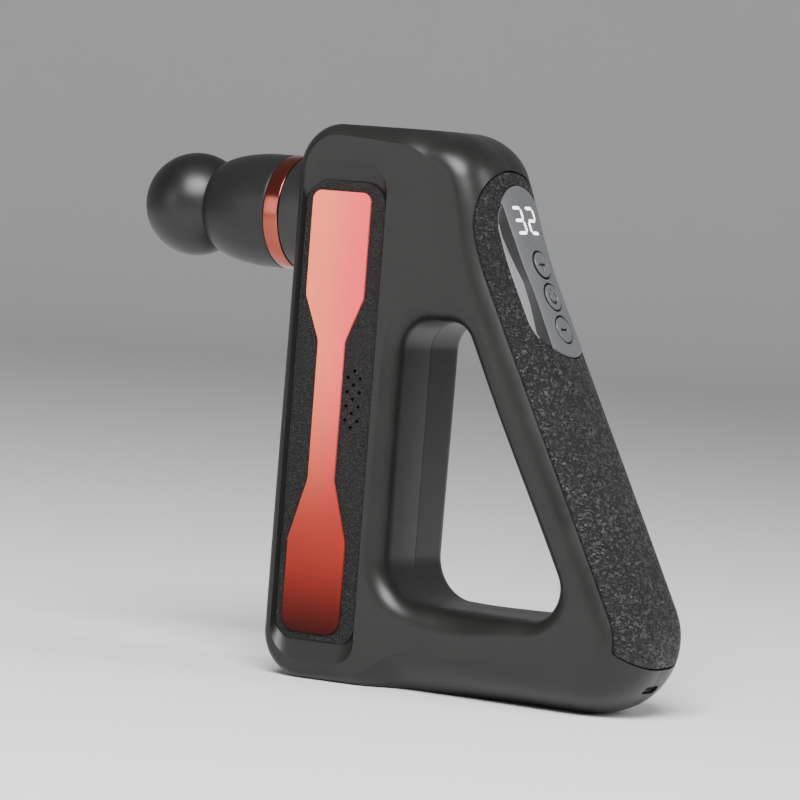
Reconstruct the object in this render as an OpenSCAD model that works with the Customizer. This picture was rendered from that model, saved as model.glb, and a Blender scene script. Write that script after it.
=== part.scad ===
// Percussion massage gun: a thick triangular loop body with a ball head at the front,
// a hand opening in the middle and a slanted rear grip that carries the controls.
//
// Frame: +Z up, the body stands on its base at Z = 0, the head points along -X and the
// two body halves meet on the plane Y = 0. Inside the modules X is counted from the
// front face, and place() moves it so that the origin is the middle of the base.

/* [Body] */
// Height from the base to the top face
body_h = 220; // [200:1:262]
// Thickness from side to side
body_t = 54; // [52:0.5:64]
// Length of the base line, from the front face to the rear corner point
base_len = 186; // [176:1:222]
// Length of the top line, from the front face to the rear corner point
top_len = 76; // [72:1:88]
// Rounding of the front foot corner
foot_r = 18; // [14:1:21]
// Rounding of the rear base corner
heel_r = 29.5; // [25:0.5:35]
// Wall thickness of the two half shells
wall = 2.8; // [2.4:0.1:3.4]
// Length of the flat foot under the front column
foot_len = 46; // [40:1:54]

/* [Hand opening] */
// Depth of the front column, from the front face to the opening
column_d = 52.5; // [51:0.5:60]
// Height of the opening's ceiling above the base
arch_z = 146; // [136:1:152]
// Height of the opening's floor above the base
sill_z = 34.5; // [30:0.5:41]
// Depth of the slanted handle, measured square to it
handle_d = 27.5; // [24:0.5:31]

/* [Side panels] */
// Depth of the recess in each side of the column
pocket_depth = 3; // [2.6:0.1:3.2]
// Thickness of the textured inlay
inlay_t = 1.2; // [0.8:0.1:1.4]
// Thickness of the metal trim plate
plate_t = 1; // [0.6:0.1:1.2]
// Width of the trim plate at its two ends
plate_w = 26.5; // [22:0.5:28]
// Width of the trim plate at its waist
plate_waist_w = 12.2; // [9:0.2:14.6]
// Diameter of one vent hole
vent_dia = 1.5; // [1:0.1:1.8]

/* [Grip and controls] */
// Thickness of the rear grip skin
grip_t = 1.5; // [1:0.1:1.7]
// Width of the control panel
panel_w = 34.4; // [31:0.2:36]
// Length of the control panel
panel_len = 72; // [70:0.5:76]
// How far down the slope the panel's middle lies from the first button
panel_shift = 2.9; // [2:0.1:5]
// How far the control panel stands proud of the body
panel_proud = 0.6; // [0.3:0.1:1]
// Diameter of each button
button_dia = 10.6; // [8.8:0.1:11.4]
// Distance from one button to the next
button_pitch = 13.6; // [13.4:0.1:14.4]
// Travel of each button
button_travel = 0.8; // [0.5:0.1:0.9]
// Height of the display digits
digit_h = 11.5; // [9:0.5:12.5]

/* [Head] */
// Diameter of the ball
ball_dia = 42; // [35:0.5:50]
// Height of the head axis above the base
head_z = 183.5; // [178:0.5:188]
// Diameter of the neck's collar and trim ring
neck_dia = 45.8; // [42:0.2:47]
// How far the collar stands out of the front face
collar_len = 9.8; // [8:0.2:12]
// Width of the trim ring
ring_w = 6.8; // [5:0.2:8.4]
// How far the nose reaches beyond the trim ring
nose_len = 34; // [32:0.5:40]
// Diameter of the head's stem
stem_dia = 12; // [10:0.5:13]

/* [Drive] */
// Diameter of the piston
piston_dia = 18; // [17:0.5:20]
// Throw of the crank pin, half the stroke
crank_throw = 5; // [4:0.25:6]
// Distance between the connecting rod's eyes
rod_len = 30; // [28:0.5:31]
// Distance of the crank axis behind the front face
crank_x = 52; // [51:0.5:54]
// Outer diameter of the motor's rotor
rotor_dia = 39; // [34:0.5:40]
// Diameter of the motor shaft
shaft_dia = 4; // [3:0.5:5]

/* [Battery] */
// Diameter of one cell
cell_dia = 18.4; // [16:0.1:18.6]
// Length of one cell
cell_len = 65; // [54:0.5:70]

/* [Fits] */
// Radial clearance of a running fit
run_fit = 0.05; // [0.03:0.01:0.08]
// Clearance between pieces that move past one another
free_gap = 0.3; // [0.25:0.05:0.4]
// Thin visible gap around inset panels
seam = 0.2; // [0.1:0.05:0.3]

/* [Hidden] */
$fn = 48;

// ---- Driving values worked out from the sizes above ----
base_mid = 80 * base_len / 186;
half_t = body_t / 2;
back_bend = [0.53 * base_len, 0.775 * body_h];
back_dir = unit([base_len, 0] - back_bend);
back_normal = left_of(back_dir);
// The opening's slanted wall lies the handle's depth in from the back line
slant_point = back_bend - handle_d * back_normal;
slant_top = [slant_x(arch_z) - 0.7, arch_z];
slant_foot = [slant_x(sill_z), sill_z];
slant_bend_z = arch_z - 0.26 * (arch_z - sill_z);
cell_z0 = 14;
heel_centre = [base_len - heel_r * tan(back_angle() / 2), heel_r];
// Tilt of the control panel's outward direction above the horizontal
panel_tilt = (angle_of(left_of(back_bend - [top_len, body_h])) + angle_of(back_normal)) / 2;

function unit(v) = v / norm(v);
function angle_of(v) = atan2(v[1], v[0]);
function left_of(v) = [-v[1], v[0]];
function slant_x(z) = slant_point[0] + (slant_point[1] - z) * back_dir[0] / -back_dir[1];
function back_angle() = angle_of(-back_dir);

// ---- Outlines: rounded polygons walked clockwise, each point with its left-hand normal ----
// A corner is [x, z, radius, points on its arc, edge rounding in the plane, edge rounding across].
outer_corners = [
    [0, 0, foot_r, 7, 4, 4],
    [0, body_h, 14, 7, 4.5, 4.5],
    [0.72 * top_len, body_h, 0, 1, 6.4, 6.4],
    [top_len, body_h, 24, 8, 13, 21],
    [back_bend[0], back_bend[1], 150, 3, 20, half_t - 2],
    [base_len, 0, heel_r, 11, 18, half_t - 4],
    [foot_len + 14, 0, 0, 1, 15.5, 14],
    [foot_len, 0, 0, 1, 4, 4]
];
inner_corners = [
    [column_d, sill_z, 17, 7, 9, 9],
    [column_d, arch_z, 13, 7, 7.5, 7.5],
    [column_d + 0.6 * (slant_top[0] - column_d), arch_z, 0, 1, 9, 9],
    [slant_top[0], arch_z, 11, 8, 8, 8],
    [slant_x(slant_bend_z), slant_bend_z, 100, 3, 6, 6],
    [slant_foot[0], sill_z, 12.5, 11, 8, 9],
    [column_d + 34, sill_z, 0, 1, 13, 14],
    [column_d + 26, sill_z, 0, 1, 13, 14]
];
side_steps = [6, 4, 3, 4, 9, 5, 3, 2];

function corner_turn(p, v, q) =
    let (d = angle_of(v - p) - angle_of(q - v)) d > 180 ? d - 360 : d < -180 ? d + 360 : d;

// Points of one corner's arc as [point, normal]
function corner_arc(p, v, q, r, n) =
    let (turn = corner_turn(p, v, q), side = turn < 0 ? -1 : 1, dir = unit(v - p),
         start = angle_of(left_of(dir)),
         centre = v - r * tan(abs(turn) / 2) * dir - side * r * left_of(dir))
    n == 1 ? [[v, [cos(start - turn / 2), sin(start - turn / 2)]]] :
    [for (i = [0 : n - 1])
        let (a = start - turn * i / (n - 1), m = [cos(a), sin(a)]) [centre + side * r * m, m]];

// Closed outline through rounded corners, with evenly spaced points on each straight
function outline(corners, steps) =
    let (count = len(corners),
         arcs = [for (i = [0 : count - 1])
            let (c = corners[i], p = corners[(i + count - 1) % count], q = corners[(i + 1) % count])
            corner_arc([p[0], p[1]], [c[0], c[1]], [q[0], q[1]], c[2], c[3])])
    [for (i = [0 : count - 1])
        let (from = arcs[i][len(arcs[i]) - 1], to = arcs[(i + 1) % count][0],
             n = steps[i], m = left_of(unit(to[0] - from[0])))
        each concat(arcs[i], [for (j = [1 : 1 : n]) [from[0] + (to[0] - from[0]) * j / (n + 1), m]])];

// A corner's edge rounding, held along its arc and blended along the next straight
function roundings(corners, steps) =
    let (count = len(corners))
    [for (i = [0 : count - 1])
        let (c = corners[i], q = corners[(i + 1) % count], a = [c[4], c[5]], b = [q[4], q[5]])
        each concat([for (j = [1 : c[3]]) a],
                    [for (j = [1 : 1 : steps[i]]) let (s = j / (steps[i] + 1)) a + (b - a) * s * s * (3 - 2 * s)])];

function points_of(path) = [for (p = path) p[0]];

outer_path = outline(outer_corners, side_steps);
inner_path = outline(inner_corners, side_steps);
outer_edge = roundings(outer_corners, side_steps);
inner_edge = roundings(inner_corners, side_steps);
stations = len(outer_path);

// Station numbers where a corner's arc starts
function arc_start(k) = k == 0 ? 0 : arc_start(k - 1) + outer_corners[k - 1][3] + side_steps[k - 1];
grip_top_station = arc_start(3) + outer_corners[3][3] - 1;
grip_foot_station = arc_start(5) + 4;

// ---- The body's skin ----
function shrunk(r, grow) = max(r + grow, 0.6);

// A point of the outer skin: station, angle round the edge (0 on the rim, 90 on the side), offset
function rim_point(k, angle, grow) =
    let (p = outer_path[k], e = outer_edge[k], rd = shrunk(e[0], grow), ry = shrunk(e[1], grow),
         xz = p[0] + p[1] * (grow - rd * (1 - cos(angle))),
         y = half_t + grow - ry + ry * sin(abs(angle)))
    [xz[0], angle < 0 ? -y : y, xz[1]];

// The same on the wall of the hand opening
function throat_point(k, angle, grow) =
    let (p = inner_path[k], e = inner_edge[k], rd = shrunk(e[0], grow), ry = shrunk(e[1], grow),
         xz = p[0] - p[1] * (grow - rd * (1 - cos(angle))))
    [xz[0], half_t + grow - ry + ry * sin(angle), xz[1]];

// A point between two stations of the outer skin
function rim_between(k, angle, grow) =
    let (a = floor(k), s = k - a) rim_point(a, angle, grow) * (1 - s) + rim_point(a + 1, angle, grow) * s;

function on_plane(p) = [p[0], 0, p[2]];

// Half section at one station, from the rim over the side to the opening
function half_section(k, grow, steps) =
    concat([on_plane(rim_point(k, 0, grow))],
           [for (j = [0 : steps]) rim_point(k, 90 * j / steps, grow)],
           [for (j = [steps : -1 : 0]) throat_point(k, 90 * j / steps, grow)],
           [on_plane(throat_point(k, 0, grow))]);

function reversed(list) = [for (i = [len(list) - 1 : -1 : 0]) list[i]];

// Triangles of a closed tube made from rings of equal size
function tube_faces(rings, size) =
    [for (k = [0 : rings - 1], j = [0 : size - 1])
        let (a = k * size + j, b = k * size + (j + 1) % size,
             c = ((k + 1) % rings) * size + j, d = ((k + 1) % rings) * size + (j + 1) % size)
        each [[a, b, c], [b, d, c]]];

// Left half of the hollow body, open on the middle plane
module half_body() {
    rings = [for (k = [0 : stations - 1])
        concat(half_section(k, 0, 6), reversed(half_section(k, -wall, 4)))];
    polyhedron(points = [for (r = rings) each r], faces = tube_faces(stations, len(rings[0])));
}

// A sheet that follows the back of the body between two offsets. It starts and ends halfway
// between two of the body's stations, and reach is its half angle at each of its own.
module back_sheet(first, last, reach, outside, inside) {
    angles = [-90, -75, -60, -45, -30, -15, -0.01, 0, 15, 30, 45, 60, 75, 90];
    cols = len(angles);
    rows = last - first + 1;
    function grid(grow) = [for (k = [first : last])
        each [for (a = angles) rim_between(k + 0.5, a * reach[k - first] / 90, grow)]];
    far = rows * cols;
    polyhedron(points = concat(grid(outside), grid(inside)), faces = concat(
        [for (k = [0 : rows - 2], j = [0 : cols - 2])
            let (a = k * cols + j, b = a + 1, c = a + cols, d = c + 1)
            each [[a, b, c], [b, d, c], [far + a, far + c, far + b], [far + b, far + c, far + d]]],
        [for (j = [0 : cols - 2], k = [0, rows - 1])
            let (a = k * cols + j, b = a + 1)
            each (k == 0 ? [[a, far + a, b], [b, far + a, far + b]]
                         : [[a, b, far + a], [b, far + b, far + a]])],
        [for (k = [0 : rows - 2], j = [0, cols - 1])
            let (a = k * cols + j, b = a + cols)
            each (j == 0 ? [[a, b, far + a], [b, far + b, far + a]]
                         : [[a, far + a, b], [b, far + a, far + b]])]));
}

// ---- Frames ----
module place() translate([-base_mid, 0, 0]) children();

// Z points forward along the head axis from the front face, X points up
module head_frame() place() translate([0, 0, head_z]) rotate([0, -90, 0]) children();

// Z points to the left side of the gun, on the crank axis
module crank_frame() place() translate([crank_x, 0, head_z]) rotate([-90, 0, 0]) children();

// Z points out of the back, X runs down the slope, from the first button
module local_panel() translate([back_bend[0], 0, back_bend[1]]) rotate([0, 90 - panel_tilt, 0]) children();
module panel_frame() place() local_panel() children();

// A flat outline in X and Z, extruded from one Y to another on the left side
module side_slab(y0, y1) translate([0, y0, 0]) mirror([0, 1, 0]) rotate([90, 0, 0]) linear_extrude(y1 - y0) children();

module ring(r_out, r_in, h) difference() {
    cylinder(r = r_out, h = h);
    translate([0, 0, -1]) cylinder(r = r_in, h = h + 2);
}

// ---- Side panels ----
pocket_x0 = 4;
pocket_x1 = column_d - 9.8;
pocket_z0 = 7.6;
pocket_z1 = body_h - 14.5;
ramp = 8;
plate_mid = (pocket_x0 + pocket_x1) / 2 - 1.6;
vent_row = 2.8;
vent_x = plate_mid + plate_waist_w / 2 + 5.2;
vent_z = body_h * 0.51;

function plain(corners) = [for (c = corners) [c[0], c[1], c[2], c[3], 0, 0]];
function box_corners(x0, z0, x1, z1, r_foot, r_top) = plain([
    [x0, z0, r_foot, 8], [x0, z1, r_top, 8], [x1, z1, r_top, 8], [x1, z0, r_foot - 1, 8]]);

module pocket_outline(inset, ends) polygon(points_of(outline(
    box_corners(pocket_x0 + inset, pocket_z0 + ends, pocket_x1 - inset, pocket_z1 - ends, 9.5 - ends / 4, 12 - ends / 4),
    [0, 0, 0, 0])));

module pocket() hull() {
    side_slab(half_t, half_t + 1) pocket_outline(0, 0);
    side_slab(half_t - pocket_depth, half_t) pocket_outline(1, ramp);
}

module vent_pattern() for (row = [0 : 8]) {
    across = row % 2 == 0 ? [0] : [-1, 1];
    for (s = across) translate([vent_x + s * vent_row, vent_z + (4 - row) * vent_row]) circle(d = vent_dia);
}

module inlay() side_slab(half_t - pocket_depth, half_t - pocket_depth + inlay_t) difference() {
    pocket_outline(1 + seam, ramp + seam);
    vent_pattern();
}

module trim_plate() {
    w = plate_w / 2;
    n = plate_waist_w / 2;
    right = plate_mid;
    z = [18.5, 0.25 * body_h, 0.36 * body_h, 0.61 * body_h, 0.69 * body_h, body_h - 26.5];
    y0 = half_t - pocket_depth + inlay_t;
    side_slab(y0, y0 + plate_t) polygon(points_of(outline(plain([
        [right - w, z[0], 6, 6], [right - w, z[1], 8, 5], [right - n, z[2], 8, 5], [right - n, z[3], 8, 5],
        [right - w, z[4], 8, 5], [right - w, z[5], 4, 6], [right + w, z[5], 4, 6], [right + w, z[4], 8, 5],
        [right + n, z[3], 8, 5], [right + n, z[2], 8, 5], [right + w, z[1], 8, 5], [right + w, z[0], 6, 6]
    ]), [0, 0, 0, 0, 0, 0, 0, 0, 0, 0, 0, 0])));
}

// ---- Rear grip and controls ----
// Half angle that the grip reaches round the back, narrowing at both ends
grip_reach = [for (k = [grip_top_station : grip_foot_station])
    let (n = k - grip_top_station, m = grip_foot_station - k)
    66 * (n < 2 ? 0.72 + 0.14 * n : 1) * (m < 1 ? 0.9 : 1)];

module grip_sheet(outside, inside) back_sheet(grip_top_station, grip_foot_station, grip_reach, outside, inside);

// Straight-sided block through the back, with round ends
module panel_prism(extra, z0, z1) hull() {
    r = panel_w / 2 + extra;
    reach = panel_len / 2 - panel_w / 2;
    for (s = [-1, 1]) translate([panel_shift + s * reach, 0, z0]) rotate(360 / 64) cylinder(r = r, h = z1 - z0, $fn = 32);
}

module panel_sheet(outside, inside) {
    first = grip_top_station - 3;
    last = arc_start(4) + 8;
    back_sheet(first, last, [for (k = [first : last]) 80], outside, inside);
}

button_top = panel_proud + 0.7;
flange_z = -3.05;
switch_top = flange_z - 1.35 - button_travel - free_gap;
key_board_z = switch_top - 3.5;

module button(index) color([0.2, 0.2, 0.21]) panel_frame() translate([index * button_pitch, 0, 0]) {
    translate([0, 0, flange_z - 0.5]) cylinder(d = button_dia, h = button_top - 0.4 - flange_z + 0.5);
    translate([0, 0, button_top - 0.4]) cylinder(d1 = button_dia, d2 = button_dia - 0.8, h = 0.4);
    translate([0, 0, flange_z - 0.85]) cylinder(d = button_dia + 1.6, h = 0.85);
    translate([0, 0, flange_z - 1.35]) cylinder(r = 2.2, h = 0.6);
}

// Bars of a seven-part digit, lit ones only, on a digit as wide as 0.7 of its height
module digit(lit) {
    w = 0.7 * digit_h;
    t = 0.1 * digit_h;
    g = 0.25;
    h2 = digit_h / 2 - t / 2;
    across = w - t - 2 * g;
    down = h2 - 2 * g - t / 2;
    for (i = [0 : 2]) if (lit[i]) translate([(i - 1) * h2, 0]) square([t, across], center = true);
    for (i = [0, 1], s = [0, 1]) if (lit[3 + 2 * i + s])
        translate([(i - 0.5) * h2, (s - 0.5) * (w - t)]) square([down, t], center = true);
}

// ---- Nodes: the housing ----
ear_angles = [90, 210, 325];
post_places = [for (a = ear_angles) [crank_x + 24 * cos(a), head_z + 24 * sin(a)]];
board_z0 = cell_z0 + cell_len + 11.2;
board_h = 46.2;
screw_places = [[9, vent_z], [24, head_z - 26], [24, cell_z0 + cell_len + 7]];
board_posts = [for (x = [18, 40], z = [4.4, board_h - 4.4]) [x, board_z0 + z]];
pocket_back_y = half_t - pocket_depth - 2;
flange_back = wall + 3.1;

// Depth at which a post at this place joins the side wall
function wall_y(p) = p[0] < pocket_x1 ? pocket_back_y + 0.5 : half_t - wall + 0.5;

// A round post on the left side from one depth to the wall, standing on a wider foot
module post(p, r, y0) hull() for (s = [[r, y0], [r + 1, wall_y(p) - 2]])
    side_slab(s[1], wall_y(p)) translate(p) rotate(5) circle(r = s[0], $fn = 20);

module post_hole(p, r, y0, y1) side_slab(y0, y1) translate(p) circle(r = r, $fn = 24);

module shell_blank() {
    difference() {
        union() {
            half_body();
            side_slab(pocket_back_y, half_t - 1) pocket_outline(-0.6, -0.6);
        }
        pocket();
        translate([0, 0, head_z]) rotate([0, -90, 0]) translate([0, 0, -wall - 5])
            rotate(2.5) cylinder(r = neck_dia / 2, h = wall + 6, $fn = 72);
        grip_cut();
        side_slab(pocket_back_y - 1, half_t) hull() for (s = [-1, 1])
            translate([vent_x, vent_z + s * 10]) circle(r = 3.4, $fn = 24);
    }
    // Ribs behind the neck collar's flange
    for (s = [-1, 1]) translate([flange_back, neck_dia / 2 - 12.5, head_z + s * 18 - 1])
        cube([2.5, pocket_back_y + 13 - neck_dia / 2, 2]);
}

module grip_cut() {
    grip_sheet(2, -grip_t - 0.06);
    local_panel() panel_prism(seam, -wall - 8, 4);
    heel_frame() translate([0, 0, -6]) hull() for (s = [-1, 1])
        translate([0, s * 3.2, 0]) cylinder(r = 2.1, h = 9, $fn = 24);
}

// Z points out of the rear base corner, 38 degrees below the horizontal
socket_angle = -38;
module heel_frame() translate([heel_centre[0], 0, heel_centre[1]]) rotate([0, 90 - socket_angle, 0])
    translate([0, 0, heel_r]) children();

module shell_left() color([0.13, 0.13, 0.13]) place() difference() {
    union() {
        shell_blank();
        for (p = post_places) post(p, 3.5, 11.6);
        for (p = screw_places) post(p, 3, 0);
    }
    for (p = post_places) post_hole(p, 1.55, 11, pocket_back_y);
    for (p = screw_places) {
        post_hole(p, 1.55, -1, half_t);
        post_hole(p, 2.9, half_t - pocket_depth - 2.2, half_t);
    }
}

module shell_right() color([0.13, 0.13, 0.13]) place() mirror([0, 1, 0]) difference() {
    union() {
        shell_blank();
        for (p = board_posts) post(p, 2.5, 16);
        for (p = screw_places) post(p, 3, 0);
    }
    for (p = board_posts) post_hole(p, 1.1, 15, pocket_back_y);
    for (p = screw_places) post_hole(p, 1.55, -1, 12);
}

module side_inlay_left() color([0.08, 0.08, 0.08]) place() inlay();
module side_inlay_right() color([0.08, 0.08, 0.08]) place() mirror([0, 1, 0]) inlay();
module trim_plate_left() color([0.85, 0.38, 0.32]) place() trim_plate();
module trim_plate_right() color([0.85, 0.38, 0.32]) place() mirror([0, 1, 0]) trim_plate();

module rear_grip() color([0.1, 0.1, 0.1]) difference() {
    place() grip_sheet(0, -grip_t);
    panel_frame() panel_prism(seam, -wall - 8, 4);
}

module control_panel() color([0.42, 0.43, 0.45]) difference() {
    union() {
        intersection() {
            place() panel_sheet(panel_proud, -1.9);
            panel_frame() panel_prism(0, -wall - 8, 4);
        }
        // Legs that the key board screws to
        for (x = [-0.52, 2.43], s = [-1, 1]) panel_frame() translate([x * button_pitch, s * 8.8, key_board_z + 1.6])
            cylinder(r = 1.5, h = -2.7 - key_board_z - 1.6);
    }
    for (i = [0 : 2]) panel_frame() translate([i * button_pitch, 0, -8])
        cylinder(r = button_dia / 2 + free_gap, h = 14);
}

module display_digits() color([1, 1, 1]) intersection() {
    place() panel_sheet(panel_proud + 0.22, panel_proud + 0.02);
    panel_frame() translate([-1.35 * button_pitch, 0, -8]) linear_extrude(14) {
        translate([0, -0.47 * digit_h]) digit([1, 1, 1, 0, 1, 0, 1]);
        translate([0, 0.47 * digit_h]) digit([1, 1, 1, 0, 1, 1, 0]);
    }
}

module display_module() color([0.1, 0.1, 0.12]) panel_frame() translate([-1.35 * button_pitch, 0, 0]) {
    translate([-8, -11, key_board_z + 1.6]) cube([16, 22, -key_board_z - 1.6 - 5.6]);
}

module key_board() panel_frame() {
    color([0.05, 0.3, 0.15]) translate([-1.9 * button_pitch, -11, key_board_z]) cube([4.5 * button_pitch, 22, 1.6]);
    color([0.2, 0.2, 0.2]) for (i = [0 : 2]) translate([i * button_pitch, 0, key_board_z + 1.5]) {
        translate([-3, -3, 0]) cube([6, 6, switch_top - key_board_z - 2]);
        cylinder(r = 1.75, h = switch_top - key_board_z - 1.5);
    }
}

module button_plus() button(0);
module button_power() button(1);
module button_minus() button(2);

// ---- Nodes: the neck ----
ring_z = collar_len + ring_w;
nose_z = ring_z + nose_len;
bush_r = piston_dia / 2 + 3;
bush_z0 = -4;
bush_z1 = ring_z + 13.4;
ball_z = nose_z + 12;
ball_r = ball_dia / 2;
piston_front = ball_z - ball_r - 1.6;

module neck_collar() color([0.09, 0.09, 0.09]) head_frame() difference() {
    union() {
        translate([0, 0, -5]) cylinder(d = neck_dia - 0.4, h = collar_len + 5);
        intersection() {
            translate([0, 0, -flange_back]) cylinder(d = neck_dia + 3, h = flange_back - wall - 0.3);
            translate([-neck_dia, 0.5 - pocket_back_y, -2 * wall - 2]) cube([2 * neck_dia, 2 * pocket_back_y - 1, 2 * wall + 2]);
        }
        cylinder(d = neck_dia - 6, h = ring_z);
    }
    translate([0, 0, -7]) cylinder(r = bush_r, h = ring_z + 8);
}

module trim_ring() color([0.72, 0.3, 0.24]) head_frame() translate([0, 0, collar_len])
    ring(neck_dia / 2, neck_dia / 2 - 3, ring_w);

// The nose swells back from its rim along a quarter ellipse
module nose_cone() color([0.09, 0.09, 0.09]) head_frame() difference() {
    swell = nose_z - ring_z - 7.4;
    rotate_extrude() polygon(concat([[0, ring_z], [neck_dia / 2, ring_z]],
        [for (a = [0 : 7.5 : 82.5]) [neck_dia / 2 - 8.7 * (1 - cos(a)), ring_z + 7.4 + swell * sin(a)]],
        [[0, ring_z + 7.4 + swell * sin(82.5)]]));
    translate([0, 0, ring_z - 1]) cylinder(r = bush_r, h = bush_z1 - ring_z + 1);
    cylinder(r = piston_dia / 2 + 1.5, h = nose_z + 1);
    translate([0, 0, ball_z]) sphere(r = ball_r + 0.8);
}

module guide_bush() color([0.75, 0.6, 0.3]) head_frame() translate([0, 0, bush_z0])
    ring(bush_r, piston_dia / 2 + run_fit, bush_z1 - bush_z0);

// ---- Nodes: piston, rod and head ----
wrist_z = rod_len - crank_throw - crank_x;
eye_w = 5.4;
fork_r = 6.5;

module piston() color([0.7, 0.71, 0.73]) head_frame() difference() {
    union() {
        translate([0, 0, wrist_z + 13]) cylinder(d = piston_dia, h = piston_front - wrist_z - 13);
        intersection() {
            translate([-fork_r, -7.5, wrist_z - 5.5]) cube([2 * fork_r, 15, 20]);
            translate([0, 0, wrist_z - 5.5]) cylinder(d = piston_dia, h = 20);
        }
    }
    translate([-10, -eye_w / 2 - free_gap, wrist_z - 7]) cube([20, eye_w + 2 * free_gap, 18]);
    translate([0, 9, wrist_z]) rotate([90, 0, 0]) cylinder(r = 2.5, h = 18);
    translate([0, 0, piston_front - 22]) cylinder(r = stem_dia / 2 + run_fit, h = 23);
}

module wrist_pin() color([0.8, 0.8, 0.82]) head_frame() translate([0, 6, wrist_z]) rotate([90, 0, 0]) cylinder(r = 2.5, h = 12);

module connecting_rod() color([0.6, 0.61, 0.63]) crank_frame() translate([crank_throw, 0, -eye_w / 2]) difference() {
    union() {
        cylinder(r = 10.5, h = eye_w);
        translate([-rod_len, 0, 0]) cylinder(r = 5.4, h = eye_w);
        translate([-rod_len, -3.5, 0]) cube([rod_len - 9, 7, eye_w]);
    }
    translate([0, 0, -1]) cylinder(r = 8, h = eye_w + 2);
    translate([-rod_len, 0, -1]) cylinder(r = 2.5 + run_fit, h = eye_w + 2);
}

module rod_bearing() color([0.82, 0.83, 0.85]) crank_frame() translate([crank_throw, 0, -2.5]) {
    ring(8, 6.4, 5);
    ring(4.6, 3 + run_fit, 5);
    translate([0, 0, 0.6]) ring(6.4, 4.6, 3.8);
}

module head_ball() color([0.07, 0.07, 0.07]) head_frame() difference() {
    translate([0, 0, ball_z]) sphere(r = ball_r);
    translate([0, 0, ball_z - ball_r - 4]) cylinder(d = stem_dia, h = ball_r - 4);
    translate([0, 0, ball_z - ball_r - 3]) cylinder(r = 8.5, h = 5);
}

module head_stem() color([0.12, 0.12, 0.12]) head_frame() difference() {
    union() {
        translate([0, 0, piston_front - 20]) cylinder(d = stem_dia, h = ball_z - 8 - piston_front + 20);
        translate([0, 0, piston_front + free_gap]) cylinder(r = 8.5, h = ball_z - ball_r + 2 - piston_front - free_gap);
    }
    for (z = [6, 14]) translate([0, 0, piston_front - 20 + z]) difference() {
        cylinder(d = stem_dia + 2, h = 1.8);
        translate([0, 0, -1]) cylinder(d = stem_dia - 2.6, h = 4);
    }
}

module stem_o_rings() color([0.05, 0.05, 0.05]) head_frame() for (z = [6, 14])
    translate([0, 0, piston_front - 20 + z + 0.9]) rotate_extrude() translate([stem_dia / 2 - 0.62, 0]) circle(r = 0.6);

// ---- Nodes: motor and crank ----
disc_y0 = 3.2;
plate_y0 = 8.4;
rotor_end = pocket_back_y - 0.7;

module motor_bracket() color([0.55, 0.56, 0.58]) crank_frame() difference() {
    union() {
        translate([0, 0, plate_y0]) cylinder(r = 17, h = 2);
        translate([0, 0, plate_y0]) cylinder(r = 6.5, h = rotor_end - 2.9 - plate_y0);
        for (a = ear_angles) rotate([0, 0, -a]) {
            translate([12, -4.5, plate_y0]) cube([12, 9, 2]);
            translate([24, 0, plate_y0]) cylinder(r = 4.5, h = 2);
        }
    }
    translate([0, 0, plate_y0 - 1]) cylinder(r = 5, h = 20);
    for (a = ear_angles) rotate([0, 0, -a]) translate([24, 0, plate_y0 - 1]) cylinder(r = 3, h = 4);
}

module motor_bearings() color([0.82, 0.83, 0.85]) crank_frame() for (y = [plate_y0, rotor_end - 6.4])
    translate([0, 0, y]) ring(5, shaft_dia / 2 + run_fit, 3.5);

stator_r = rotor_dia / 2 - 2.9;
module motor_stator() color([0.35, 0.36, 0.38]) crank_frame() translate([0, 0, plate_y0 + 3.2]) linear_extrude(4.8)
    difference() {
        circle(r = stator_r);
        circle(r = 6.5);
        for (i = [0 : 8]) rotate(40 * i + 20) {
            polygon([[9, -2.1], [9, 2.1], [stator_r - 1.8, 4.1], [stator_r - 1.8, -4.1]]);
            translate([stator_r - 2.4, -0.9]) square([4, 1.8]);
        }
    }

module motor_windings() color([0.72, 0.4, 0.18]) crank_frame() for (i = [0 : 8]) rotate([0, 0, 40 * i])
    translate([9.4, 0, plate_y0 + 2.6]) difference() {
        translate([0, -2.3, 0]) cube([stator_r - 11.8, 4.6, 6]);
        translate([-1, -1.45, 0.5]) cube([12, 2.9, 5]);
    }

module motor_rotor() color([0.3, 0.31, 0.33]) crank_frame() {
    translate([0, 0, plate_y0 + 2.6]) ring(rotor_dia / 2, rotor_dia / 2 - 2.3, rotor_end - plate_y0 - 2.6);
    translate([0, 0, rotor_end - 1.6]) ring(rotor_dia / 2 - 1, shaft_dia / 2, 1.6);
    translate([0, 0, rotor_end - 2.5]) ring(4, shaft_dia / 2, 1.5);
}

module motor_shaft() color([0.8, 0.8, 0.82]) crank_frame() translate([0, 0, disc_y0])
    cylinder(d = shaft_dia, h = rotor_end - disc_y0);

// The disc is cut away on the pin's side, so that its other half balances the rod
pin_shank_r = 2.2;
module crank_disc() color([0.5, 0.5, 0.52]) crank_frame() translate([0, 0, disc_y0]) difference() {
    cylinder(r = 14, h = 4.8);
    translate([0, 0, -1]) cylinder(d = shaft_dia, h = 7);
    translate([crank_throw, 0, -1]) cylinder(r = pin_shank_r, h = 7);
    translate([crank_throw + 4.5, -20, 2]) cube([20, 40, 4]);
}

module crank_pin() color([0.8, 0.8, 0.82]) crank_frame() translate([crank_throw, 0, 0]) {
    translate([0, 0, eye_w / 2 + free_gap]) cylinder(r = 3, h = disc_y0 - eye_w / 2 - free_gap);
    translate([0, 0, disc_y0]) cylinder(r = pin_shank_r, h = 4.8);
}

module damper_grommets() color([0.06, 0.06, 0.06]) place() for (p = post_places)
    translate([p[0], plate_y0 - 0.8, p[1]]) rotate([-90, 0, 0]) difference() {
        union() {
            cylinder(r = 4.2, h = 0.8);
            cylinder(r = 3, h = 3.2);
            translate([0, 0, 2.8]) cylinder(r = 4.2, h = 0.4);
        }
        translate([0, 0, -1]) cylinder(r = 1.55, h = 6);
    }

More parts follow.
